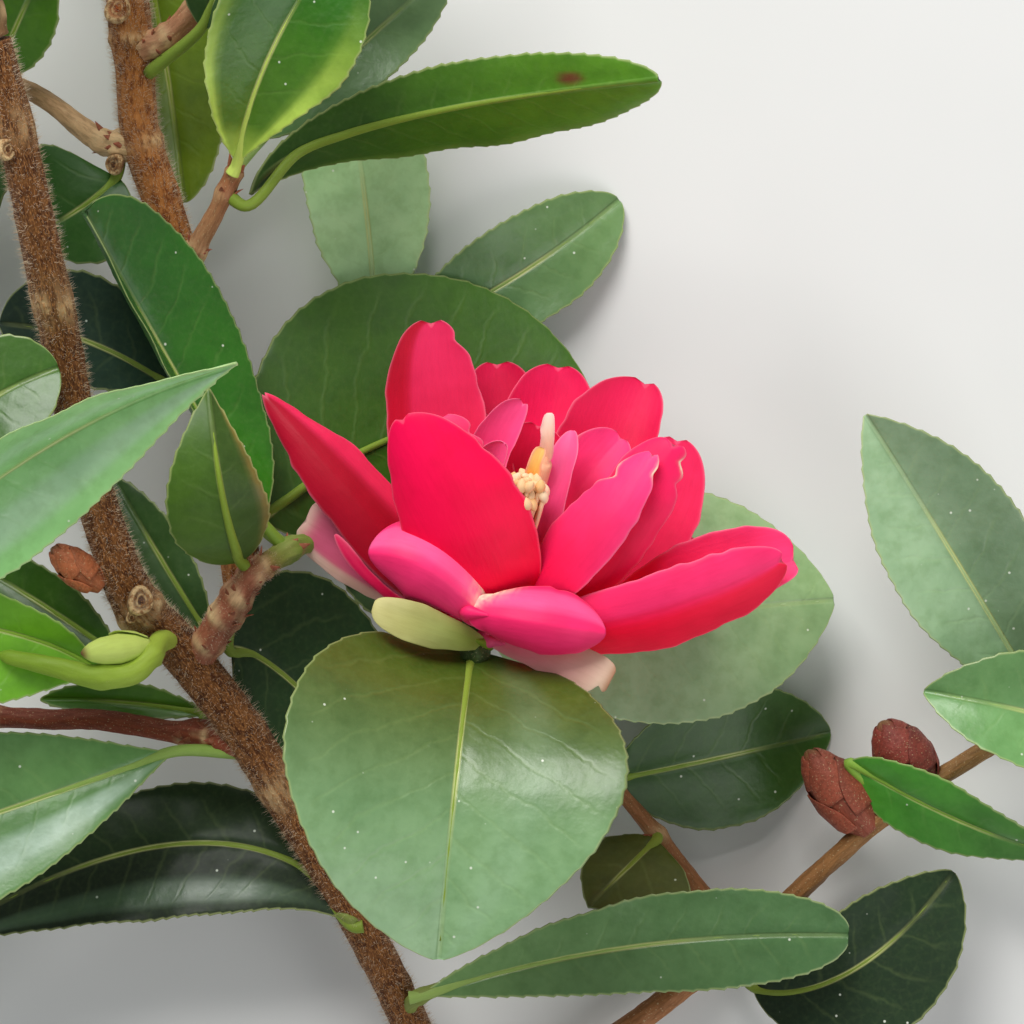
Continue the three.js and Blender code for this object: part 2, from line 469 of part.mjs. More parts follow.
/** A named mesh with its own plain material. */
function meshOf(name, solid, colour, roughness) {
  const out = solid.getMesh();
  const g = new THREE.BufferGeometry();
  g.setAttribute('position', new THREE.BufferAttribute(new Float32Array(out.vertProperties), 3));
  g.setIndex(new THREE.BufferAttribute(new Uint32Array(out.triVerts), 1));
  g.computeVertexNormals();
  const mesh = new THREE.Mesh(g, new THREE.MeshStandardMaterial({ color: colour, roughness, metalness: 0 }));
  mesh.name = name;
  return mesh;
}

const group = new THREE.Group();
group.name = 'camellia_branch';

// Stems: the main one stays whole, with its small brown bud, and the second is cut clear of it.
const widened = new Map(STEMS.map(([name, rows]) => [name, limb(rows, STEM_SIDES, GAP)]));
const [mainRows, secondRows] = STEMS.map(([, rows]) => rows);
const mainStem = fuse([limb(mainRows, STEM_SIDES), bud(STEM_BUD)]);
const secondStem = mainBody(limb(secondRows, STEM_SIDES).subtract(widened.get('main_stem')));
group.add(meshOf('main_stem', mainStem, 0x6b4a35, 0.9));
group.add(meshOf('second_stem', secondStem, 0x6b4a35, 0.9));

// Sprays: twigs, stalks, leaves and buds fused, then cut clear of the stem that they grow from.
for (const [name, on, twigRows, leafRows] of SPRAYS) {
  const twigs = new Map(twigRows);
  const parts = [
    ...twigRows.map(([, rows]) => limb(rows, TWIG_SIDES)),
    ...leafRows.map((row) => leafOn(twigs, row)),
    ...(BUDS.get(name) ?? []).map(bud),
  ];
  const solid = mainBody(fuse(parts).subtract(widened.get(on)));
  group.add(meshOf(name, solid, 0x3c6b33, 0.45));
}

// The bloom: heart, petals, petal-like stamens and sepals in one solid, cut clear of its twig and leaves.
const heart = new THREE.SphereGeometry(HEART_RADIUS, 8, 6);
heart.translate(...HEART);
const [, , flowerTwigRows, flowerLeafRows] = SPRAYS.find(([name]) => name === 'flower_spray');
const flowerTwigs = new Map(flowerTwigRows);
let bloom = fuse([solidOf(heart), ...stamens(), ...[...PETALS, ...farPetals()].map(petalOf)]);
bloom = bloom.subtract(limb(flowerTwigs.get('flower_twig'), TWIG_SIDES, GAP));
for (const row of flowerLeafRows) {
  bloom = bloom.subtract(leafOn(flowerTwigs, row, GAP));
}
group.add(meshOf('bloom', mainBody(bloom), 0xd0123c, 0.55));

group.position.set(...SHIFT);

export default group;
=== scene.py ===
# %% [markdown]
# # A cut branch of garden camellia with one red bloom
# The real thing is a woody branch, about 18 cm long, with leathery toothed leaves and one open
# bloom. It could be sculpted or scattered from ready leaves. Here every stem, leaf and petal is
# a profile carried along a bent path, worked out with numpy from rows of numbers that the CAD
# model has too, so each living surface lies where its solid is.

# %% Load the frame
import math

import bpy
import numpy as np
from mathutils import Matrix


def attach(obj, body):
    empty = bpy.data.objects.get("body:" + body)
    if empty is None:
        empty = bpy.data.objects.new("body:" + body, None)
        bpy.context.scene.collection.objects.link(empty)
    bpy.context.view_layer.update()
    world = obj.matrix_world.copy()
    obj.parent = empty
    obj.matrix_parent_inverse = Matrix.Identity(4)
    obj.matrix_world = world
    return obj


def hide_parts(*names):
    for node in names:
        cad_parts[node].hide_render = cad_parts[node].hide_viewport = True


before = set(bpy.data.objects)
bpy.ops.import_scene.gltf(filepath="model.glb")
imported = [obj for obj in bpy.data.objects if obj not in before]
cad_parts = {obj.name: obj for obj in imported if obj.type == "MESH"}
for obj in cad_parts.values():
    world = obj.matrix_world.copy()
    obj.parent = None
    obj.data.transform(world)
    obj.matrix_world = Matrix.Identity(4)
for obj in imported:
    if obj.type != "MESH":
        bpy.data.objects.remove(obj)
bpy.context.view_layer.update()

# %% [markdown]
# ## Camera
# The branch was seen from straight above it, close by. A camera 51 cm over the ground with a long
# lens gives that view with little perspective. The rows of numbers are in millimetres from the
# middle of the picture, and SHIFT moves them to the frame's own origin, as in the CAD source.
# Standard colour keeps the crimson as strong as it is painted.

# %% Camera and colour
MM = 0.001
SHIFT = np.array([14.1, -9.4, 0.0])
CAMERA_HEIGHT = 0.510

camera_data = bpy.data.cameras.new("camera")
camera_data.lens = 150
camera_data.sensor_width = 36
camera_data.clip_start = 0.01
camera = bpy.data.objects.new("camera", camera_data)
camera.location = (SHIFT[0] * MM, SHIFT[1] * MM, CAMERA_HEIGHT)
bpy.context.scene.collection.objects.link(camera)
bpy.context.scene.camera = camera
bpy.context.scene.view_settings.view_transform = "Standard"


def paint(red, green, blue):
    """A screen colour from 0 to 255 each as the linear colour of shaders: its share to the power 2.2."""
    return np.array([red, green, blue]) ** 2.2 / 255 ** 2.2


print("camera at", tuple(round(v, 4) for v in camera.location))

# %% [markdown]
# ## One way to close every shape
# A stem, a leaf and a hair are all rings of points along a path. So one maker can join any of
# them: it strings quads between the rings, closes both ends with a fan, and lays each shape in a
# cell of its own on the map that patterns are baked through. Two attributes go with the points:
# tint, whose fourth number tells a finish more about the place, such as a leaf's upper side, and
# flow, which is in millimetres and says where on the leaf or round the stem a point is.

# %% Rings to mesh
FLOOR_GAP = 0.05
CELL_EDGE = 0.04


def stacked(*values):
    """Values made the same shape and laid side by side along a new last axis."""
    return np.stack(np.broadcast_arrays(*values), -1)


def rings(grid, tint, flow, ends=None):
    """A shape as whole arrays of K copies, R rings and C points round: points, tints and flow."""
    grid = np.asarray(grid, float)
    if grid.ndim == 3:
        grid = grid[None]
    if ends is None:
        ends = (grid[:, 0].mean(1), grid[:, -1].mean(1))
    shape = grid.shape[:3]
    tint = np.broadcast_to(tint, shape + (4,))
    flow = np.broadcast_to(flow, shape + (3,))
    return {"grid": grid, "tint": tint, "flow": flow, "ends": ends}


def inset(x, edge):
    """A place from 0 to 1 moved in from both ends: edge + (1 - 2 edge) x."""
    return edge + (1 - 2 * edge) * x


def cell_map(u, v, copy, copies, part, parts):
    """Places (u, v) of one copy of one part inside its own cell: parts fill a square grid of cells, and the
    copies of a part fill a square grid inside its cell."""
    outer = math.ceil(math.sqrt(parts))
    inner = math.ceil(math.sqrt(copies))
    x = inset((copy % inner + inset(u, CELL_EDGE)) / inner, 0.01)
    y = inset((copy // inner + inset(v, CELL_EDGE)) / inner, 0.01)
    return np.stack([(part % outer + x) / outer, (part // outer + y) / outer], -1)


def faces_of(part, start, index, parts):
    """Corner numbers and map places of one part. A quad is (i, j), (i, j+1), (i+1, j+1), (i+1, j), which
    faces outwards because the points run anticlockwise round the path; each end is a fan to its middle."""
    copies, rows, cols, _ = part["grid"].shape
    copy = np.arange(copies)[:, None, None]
    i = np.arange(rows - 1)[None, :, None]
    j = np.arange(cols)[None, None, :]
    base = start + (copy * rows + i) * cols
    after = (j + 1) % cols
    quads = stacked(base + j, base + after, base + cols + after, base + cols + j)
    step = max(rows - 1, 1)
    corners = [(j, i), (j + 1, i), (j + 1, i + 1), (j, i + 1)]
    places = [np.broadcast_arrays(copy, a / cols, inset(b / step, CELL_EDGE)) for a, b in corners]
    quad_map = np.stack([cell_map(u, v, c, copies, index, parts) for c, u, v in places], -2)
    copy, j, after = copy[:, 0], j[0], after[0]
    first = start + copy * rows * cols
    last = first + (rows - 1) * cols
    middle = start + copies * rows * cols + copy
    fans = [stacked(middle, first + after, first + j), stacked(middle + copies, last + j, last + after)]
    fan_maps = []
    for rim, hub, order in ((0.03, 0.0, (0.5, 1, 0)), (0.97, 1.0, (0.5, 0, 1))):
        sides = [np.broadcast_arrays(copy, (j + a) / cols, h) for a, h in zip(order, (hub, rim, rim))]
        fan_maps.append(np.stack([cell_map(u, v, c, copies, index, parts) for c, u, v in sides], -2))
    tris = np.concatenate([fan.reshape(-1, 3) for fan in fans])
    tri_map = np.concatenate([places.reshape(-1, 2) for places in fan_maps])
    return quads.reshape(-1, 4), quad_map.reshape(-1, 2), tris, tri_map


def make_piece(name, parts, material, nodes):
    """One mesh object of all the parts, in metres in the frame, riding on the branch."""
    points, tints, flows, quads, quad_maps, tris, tri_maps = [], [], [], [], [], [], []
    start = 0
    for index, part in enumerate(parts):
        faces = faces_of(part, start, index, len(parts))
        for pile, found in zip((quads, quad_maps, tris, tri_maps), faces):
            pile.append(found)
        tint, flow = part["tint"], part["flow"]
        points += [part["grid"].reshape(-1, 3), *part["ends"]]
        tints += [tint.reshape(-1, 4), tint[:, 0, 0], tint[:, -1, 0]]
        flows += [flow.reshape(-1, 3), flow[:, 0].mean(1), flow[:, -1].mean(1)]
        start = sum(len(p) for p in points)
    points = np.concatenate(points) + SHIFT
    points[:, 2] = np.maximum(points[:, 2], FLOOR_GAP)
    quads, tris = np.concatenate(quads), np.concatenate(tris)
    mesh = bpy.data.meshes.new(name)
    mesh.vertices.add(len(points))
    mesh.vertices.foreach_set("co", (points * MM).ravel())
    mesh.loops.add(quads.size + tris.size)
    corners = np.concatenate([quads.ravel(), tris.ravel()])
    mesh.loops.foreach_set("vertex_index", corners.astype(np.int32))
    mesh.polygons.add(len(quads) + len(tris))
    starts = np.concatenate([np.arange(len(quads)) * 4, quads.size + np.arange(len(tris)) * 3])
    mesh.polygons.foreach_set("loop_start", starts.astype(np.int32))
    mesh.polygons.foreach_set("use_smooth", np.ones(len(starts), bool))
    bake_map = mesh.uv_layers.new(name="OFBake")
    bake_map.uv.foreach_set("vector", np.concatenate(quad_maps + tri_maps).ravel())
    tint_data = mesh.attributes.new("tint", "FLOAT_COLOR", "POINT").data
    tint_data.foreach_set("color", np.concatenate(tints).ravel())
    flow_data = mesh.attributes.new("flow", "FLOAT_VECTOR", "POINT").data
    flow_data.foreach_set("vector", np.concatenate(flows).ravel())
    mesh.update(calc_edges=True)
    mesh.materials.append(material)
    piece = bpy.data.objects.new(name, mesh)
    bpy.context.scene.collection.objects.link(piece)
    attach(piece, "root")
    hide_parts(*nodes)
    print(f"{name}: {2 * len(quads) + len(tris)} triangles")


print("every shape ends in two fans, and stays", FLOOR_GAP, "mm or more above the ground")

# %% [markdown]
# ## Curves and tubes
# A twig bends smoothly through a few known points, so it can be a spline: a cubic between each
# two points that leaves and arrives along its neighbours' directions. This kind, weighted by the
# square root of each gap, doesn't loop where points lie close. The CAD model uses it too. A tube
# is then a ring square to the curve at every step.

# %% Curves and tubes
def unit(v):
    """Vectors made one long."""
    return v / np.linalg.norm(v, axis=-1, keepdims=True)


def squared(v, to):
    """Directions made square to others: their share along the others is taken off."""
    v = np.broadcast_to(v, np.shape(to))
    return unit(v - (v * to).sum(-1, keepdims=True) * to)


def soft_noise(x, y, seed):
    """Smooth noise from -1 to 1: random numbers on a square lattice, blended between the four nearest with the
    weight 3f^2 - 2f^3 each way."""
    table = np.random.default_rng(seed).uniform(-1, 1, (64, 64))
    column, row = np.floor(x).astype(int), np.floor(y).astype(int)
    f, g = x - column, y - row
    f, g = f * f * (3 - 2 * f), g * g * (3 - 2 * g)
    near = table[column % 64, row % 64] * (1 - f) + table[(column + 1) % 64, row % 64] * f
    far = table[column % 64, (row + 1) % 64] * (1 - f) + table[(column + 1) % 64, (row + 1) % 64] * f
    return near * (1 - g) + far * g


def curve(rows, u):
    """Points and radii at u from 0 to 1 of a curve through rows of [x, y, z, radius]. Each slope is the usual
    three-point one, with gaps measured as the square root of the distance."""
    rows = np.asarray(rows, float)
    p = rows[:, :3]
    p = np.concatenate([[2 * p[0] - p[1]], p, [2 * p[-1] - p[-2]]])
    place = np.clip(u, 0, 1) * (len(rows) - 1)
    k = np.minimum(place.astype(int), len(rows) - 2)
    f = (place - k)[:, None]
    p0, p1, p2, p3 = p[k], p[k + 1], p[k + 2], p[k + 3]
    gaps = np.sqrt(np.linalg.norm([p1 - p0, p2 - p1, p3 - p2], axis=-1))[..., None]
    g0, g1, g2 = np.maximum(gaps, 1e-3)
    m1 = ((p1 - p0) / g0 - (p2 - p0) / (g0 + g1) + (p2 - p1) / g1) * g1
    m2 = ((p2 - p1) / g1 - (p3 - p1) / (g1 + g2) + (p3 - p2) / g2) * g1
    square = (-3 * p1 + 3 * p2 - 2 * m1 - m2) * f ** 2
    cube = (2 * p1 - 2 * p2 + m1 + m2) * f ** 3
    return p1 + m1 * f + square + cube, np.interp(place, np.arange(len(rows)), rows[:, 3])


def frames_along(points):
    """Tangent, normal and side at each point. The normal is the world axis least in line with the path, made
    square to the tangent, so it never flips; the side is tangent x normal."""
    tangent = unit(np.gradient(points, axis=0))
    axis = np.eye(3)[np.abs(tangent).max(0).argmin()]
    normal = squared(axis, tangent)
    return tangent, normal, np.cross(tangent, normal)


def circle(a, first, second):
    """Points cos a first + sin a second, one for each angle, on an axis before the last."""
    return np.cos(a)[:, None] * first[..., None, :] + np.sin(a)[:, None] * second[..., None, :]


def angles(sides):
    """Even steps once round."""
    return np.linspace(0, 2 * np.pi, sides, endpoint=False)


def tube(points, radii, sides):
    """Rings round a path: point + radius (cos a normal + sin a side). A radius belongs to a ring or a point."""
    _, normal, side = frames_along(points)
    radii = radii.reshape(len(points), -1, 1)
    return points[:, None] + radii * circle(angles(sides), normal, side)


def length_along(points):
    """Distance from the first point, along the path."""
    return np.concatenate([[0], np.cumsum(np.linalg.norm(np.diff(points, axis=0), axis=-1))])


def length_of(rows, steps):
    """Length of the curve through the rows, measured in straight steps."""
    return length_along(curve(rows, np.linspace(0, 1, steps))[0])[-1]


def round_flow(sides, reach, along):
    """Flow round a tube: reach cos a, reach sin a and the distance along it."""
    a = angles(sides)
    return stacked(reach * np.cos(a)[None], reach * np.sin(a)[None], along[:, None])


quarter = [[1, 0, 0, 1], [0.7, 0.7, 0, 1], [0, 1, 0, 1]]
print("length of a unit quarter turn:", round(length_of(quarter, 50), 3))

# %% [markdown]
# ## Painting with nodes
# Each finish is a small network of nodes, and writing out every node and link hides the idea. So
# one helper holds a material while it is made, and its short words add sums, soft steps, mixes
# and noise. A pattern is always built from the flow attribute or from object coordinates, never
# from where the camera is.

# %% A finish while it is made
class Finish:
    """A material with a Principled shader, whose constants go straight on the sockets. tint, mark and flow are
    the attributes of every piece: mark is tint's fourth number. place is the object's own coordinates."""

    def __init__(self, name, **constants):
        self.material = bpy.data.materials.new(name)
        self.material.use_nodes = True
        self.tree = self.material.node_tree
        self.shader = self.tree.nodes["Principled BSDF"]
        for key, value in constants.items():
            self.shader.inputs[key.replace("_", " ")].default_value = value
        tint = self.node("ShaderNodeAttribute", attribute_name="tint")
        self.tint, self.mark = tint.outputs["Color"], tint.outputs["Alpha"]
        self.flow = self.node("ShaderNodeAttribute", attribute_name="flow").outputs["Vector"]
        self.place = self.node("ShaderNodeTexCoord").outputs["Object"]

    def feed(self, socket, value):
        """Links another node's output to a socket, or writes a value on it."""
        if isinstance(value, bpy.types.NodeSocket):
            self.tree.links.new(value, socket)
        else:
            socket.default_value = value

    def node(self, kind, inputs=None, **settings):
        """Adds one node, with its settings and inputs."""
        made = self.tree.nodes.new(kind)
        for key, value in settings.items():
            setattr(made, key, value)
        for key, value in (inputs or {}).items():
            self.feed(made.inputs[key], value)
        return made

    def maths(self, operation, *values):
        """The output of a Math node."""
        return self.node("ShaderNodeMath", dict(enumerate(values)), operation=operation).outputs[0]

    def times(self, first, second):
        """The product of two values."""
        return self.maths("MULTIPLY", first, second)

    def plus(self, first, *others):
        """The sum of all the values."""
        for other in others:
            first = self.maths("ADD", first, other)
        return first

    def far_from(self, value, middle):
        """How far a value is from a middle, either way."""
        return self.maths("ABSOLUTE", self.maths("SUBTRACT", value, middle))

    def step(self, value, low, high, to_low=0.0, to_high=1.0):
        """A smooth change from to_low to to_high as value goes from low to high."""
        places = {"Value": value, "From Min": low, "From Max": high, "To Min": to_low, "To Max": to_high}
        return self.node("ShaderNodeMapRange", places, interpolation_type="SMOOTHSTEP").outputs[0]

    def mix(self, share, first, second, blend_type="MIX"):
        """The first colour with a share of the second mixed in."""
        made = self.node("ShaderNodeMix", None, data_type="RGBA", blend_type=blend_type)
        self.feed(made.inputs[0], share)
        for socket, colour in ((made.inputs[6], first), (made.inputs[7], second)):
            plain = not isinstance(colour, bpy.types.NodeSocket)
            self.feed(socket, (*colour, 1.0) if plain else colour)
        return made.outputs[2]

    def layered(self, *layers):
        """The tint under layers of (share, colour, way of mixing), each mixed in over the last."""
        colour = self.tint
        for share, *layer in layers:
            colour = self.mix(share, colour, *layer)
        return colour

    def grain(self, vector, scale, detail=2.0, roughness=0.5):
        """The value of a noise texture, from 0 to 1."""
        inputs = {"Vector": vector, "Scale": scale, "Detail": detail, "Roughness": roughness}
        return self.node("ShaderNodeTexNoise", inputs).outputs["Fac"]

    def squeezed_flow(self, *scale):
        """Flow times a scale each way: a small number draws a pattern out along that way."""
        return self.node("ShaderNodeMapping", {"Vector": self.flow, "Scale": scale}).outputs[0]

    def done(self, colour, roughness=None, height=None, strength=0.0, depth=0.0002):
        """The material, once colour, roughness and bump height are linked to its shader."""
        self.feed(self.shader.inputs["Base Color"], colour)
        if roughness is not None:
            self.feed(self.shader.inputs["Roughness"], roughness)
        if height is not None:
            bump = self.node("ShaderNodeBump", {"Height": height, "Strength": strength, "Distance": depth})
            self.feed(self.shader.inputs["Normal"], bump.outputs[0])
        print("made", self.material.name)
        return self.material


print("a finish reads tint, mark, flow and place")

# %% [markdown]
# ## Stems as rows of points
# The stems are young camellia wood: brown, streaked along their length, with short pale hairs and
# a few leaf scars. A stem could be a straight cylinder bent by a modifier. A curve through a row
# of points follows the real one's small kinks better.

# %% Stem rows
# Each row is [x, y, z, radius] in millimetres, from foot to tip, as in the CAD source.
STEMS = [
  ["main_stem", [[-4.5, -81.5, 2.7, 2.5], [-9, -68.5, 5, 2.4], [-12, -60, 8.5, 2.2], [-18, -47, 15, 2.1],
    [-24.5, -35.5, 19, 2.3], [-31, -24.5, 23, 2.5], [-38, -15, 27, 2.5], [-42.5, -10, 29.5, 2.6],
    [-45.5, -2, 32, 2.2], [-48, 8, 36, 2.1], [-49.5, 18.5, 41, 2.1], [-51.5, 30, 46, 2.1],
    [-53.5, 41, 50, 2], [-55.5, 50.5, 53, 1.8]]],
  ["second_stem", [[-26.5, -33, 19, 1.7], [-29, -26.5, 14.5, 2], [-30.5, -15, 14.5, 2.2],
    [-32.5, 1.5, 16, 2.3], [-35.5, 16.5, 18.5, 2.3], [-38, 28, 20.5, 2.2], [-40.5, 37, 22, 2.2],
    [-42.5, 43.5, 23, 2.2], [-43, 50.5, 24, 2.2], [-43.5, 56, 25, 2.4], [-44, 60, 25, 2.2]]],
]
print("stems:", [(name, len(rows)) for name, rows in STEMS])

# %% [markdown]
# ## The look of bark
# The streaks could be painted only, but light from the side also catches their relief. So noise
# that is drawn out along the stem lifts the rings, and this finish repeats it finer, in colour
# and bump, with pale specks of lichen over it.

# %% Bark finish
def bark_finish():
    """Brown streaks: noise drawn out along the stem, two sizes of it mixed, with pale specks."""
    bark = Finish("grey_brown_bark", Sheen_Weight=0.04, Specular_IOR_Level=0.25)
    drawn_out = bark.squeezed_flow(1, 1, 0.36)
    streak = bark.grain(drawn_out, 1.4, 4.0, 0.65)
    fine = bark.grain(drawn_out, 6.0, 3.0, 0.7)
    speck = bark.grain(bark.flow, 3.2, 3.0, 0.75)
    colour = bark.layered(
        (bark.step(streak, 0.44, 0.6), (0.42, 0.31, 0.25), "MULTIPLY"),
        (bark.step(fine, 0.48, 0.66, 0, 0.75), paint(188, 130, 76)),
        (bark.step(speck, 0.63, 0.72, 0, 0.55), paint(212, 190, 150)))
    height = bark.plus(streak, bark.times(fine, 0.6))
    return bark.done(colour, bark.step(streak, 0.3, 0.7, 0.62, 0.85), height, 0.9, 0.0004)


BARK = bark_finish()

# %% [markdown]
# ## The two stems
# Every few centimetres a stem swells a little where a leaf once sat, and bears a cream patch and
# sometimes a round scar there. These could be modelled apart. Here the swellings are narrow bells
# along the path, added to the radius, and the same bells tint the bark; a scar is a low button
# with a raised rim.

# %% Stems
SCARS = {
    "main_stem": [(0.12, 0.10), (0.335, 0.22), (0.525, 0.34), (0.66, 0.14), (0.80, 0.2), (0.93, 0.16)],
    "second_stem": [(0.22, 0.18), (0.47, 0.2), (0.68, 0.2), (0.86, 0.26)],
}
# stem: leaf scars as [middle, direction it faces, radius, colour of its middle]
LEAF_SCARS = {
    "main_stem": [
        ([-41.4, -9.9, 33.6], [0.35, 0.1, 1], 1.25, (92, 70, 62)),
        ([-42.6, -11.8, 32.2], [0.1, -0.2, 1], 0.55, (110, 74, 50)),
        ([-54.2, 39, 51.6], [0.7, -0.1, 0.9], 0.9, (120, 80, 50))],
    "second_stem": [
        ([-44.6, 57, 27.2], [-0.1, 0.1, 1], 1.35, (176, 84, 38)),
        ([-45.4, 39.6, 23.8], [-0.3, -0.2, 1], 0.9, (92, 66, 50)),
        ([-40.6, 37.6, 23.6], [0.5, 0.1, 0.9], 0.8, (120, 84, 54)),
        ([-31.2, -8, 16.6], [0.7, 0.2, 0.9], 0.9, (110, 78, 56))],
}
BARK_BROWN = {"main_stem": paint(114, 71, 34), "second_stem": paint(174, 111, 56)}
SCAR_CREAM = paint(222, 190, 140)


def blend(first, second, share):
    """The first value with a share of the second: first (1 - share) + second share."""
    return first * (1 - share) + second * share


def with_mark(colour, mark=1.0):
    """Colours with a fourth number after them."""
    return np.concatenate([colour, np.broadcast_to(mark, colour.shape[:-1] + (1,))], -1)


def bells(t, places, width):
    """The sum over the places of height exp(-((t - place) / width)^2)."""
    return sum(height * np.exp(-((t - at) / width) ** 2) for at, height in places)


def stem_rings(rows, scars, brown, seed, step=0.3, sides=64):
    """Rings of a stem: its radius, plus bells at the scars, plus noise that is longer along than round."""
    t = np.linspace(0, 1, int(length_of(rows, 400) / step))
    points, radii = curve(rows, t)
    flow = round_flow(sides, 2.2, length_along(points))
    x, y, z = np.moveaxis(flow, -1, 0)
    relief = 0.55 * soft_noise(x * 1.6 + 0.1 * z, y * 1.6 + 9, seed)
    relief = relief + 0.3 * soft_noise(x * 3 - 0.2 * z, y * 3, seed + 1)
    relief = relief + 0.5 * soft_noise(x + 0.55 * z, y + 0.3 * z, seed + 2)
    flakes = np.maximum(soft_noise(x * 5, 0.7 * z + y * 2, seed + 3), 0)
    swell = bells(t, scars, 0.012)[:, None] * (1 + 0.5 * relief)
    lumps = radii[:, None] * (1 + 0.05 * relief + 0.05 * flakes) + swell
    cream = np.clip(3.6 * bells(t, scars, 0.013), 0, 0.9)[:, None] * np.clip(0.62 + 0.8 * relief, 0, 1)
    return rings(tube(points, lumps, sides), with_mark(blend(brown, SCAR_CREAM, cream[..., None])), flow)


def scar_rings(middle, faces, radius, core):
    """A leaf scar: a low button round the direction it faces, with a raised cream rim round a darker pit."""
    way = unit(np.array(faces, float))
    level = unit(np.cross(way, [0.3, 1, 0.1]))
    out = np.array([1.15, 1.12, 1.0, 0.86, 0.7, 0.56, 0.42, 0.3, 0.16, 0.05]) * radius
    up = np.array([-0.9, -0.1, 0.26, 0.3, 0.1, 0.08, 0.22, 0.06, 0.0, 0.04]) * min(radius, 1)
    a = angles(28)
    spread = (out[:, None] * (1 + 0.06 * np.sin(3 * a + radius * 9)))[..., None]
    button = up[:, None, None] * way + spread * circle(a, level, 1.2 * np.cross(way, level))
    pit = np.array([0.3, 0, 0, 0, 0.55, 0.7, 0.1, 0.9, 1, 1])[:, None, None]
    return rings(np.array(middle) + button, with_mark(blend(SCAR_CREAM, paint(*core), pit)), button)


for number, (name, rows) in enumerate(STEMS):
    parts = [stem_rings(rows, SCARS[name], BARK_BROWN[name], 10 + number)]
    parts += [scar_rings(*scar) for scar in LEAF_SCARS[name]]
    make_piece(f"{name}_bark", parts, BARK, [name])

# %% [markdown]
# ## Leaves
# A camellia leaf is a leathery blade, toothed along its margin, with a midrib that stands out
# below and lies in a groove above. No two have one shape, so each has a row of its own. The rows
# are those of the CAD model, a few of them brought closer to the real leaf since.

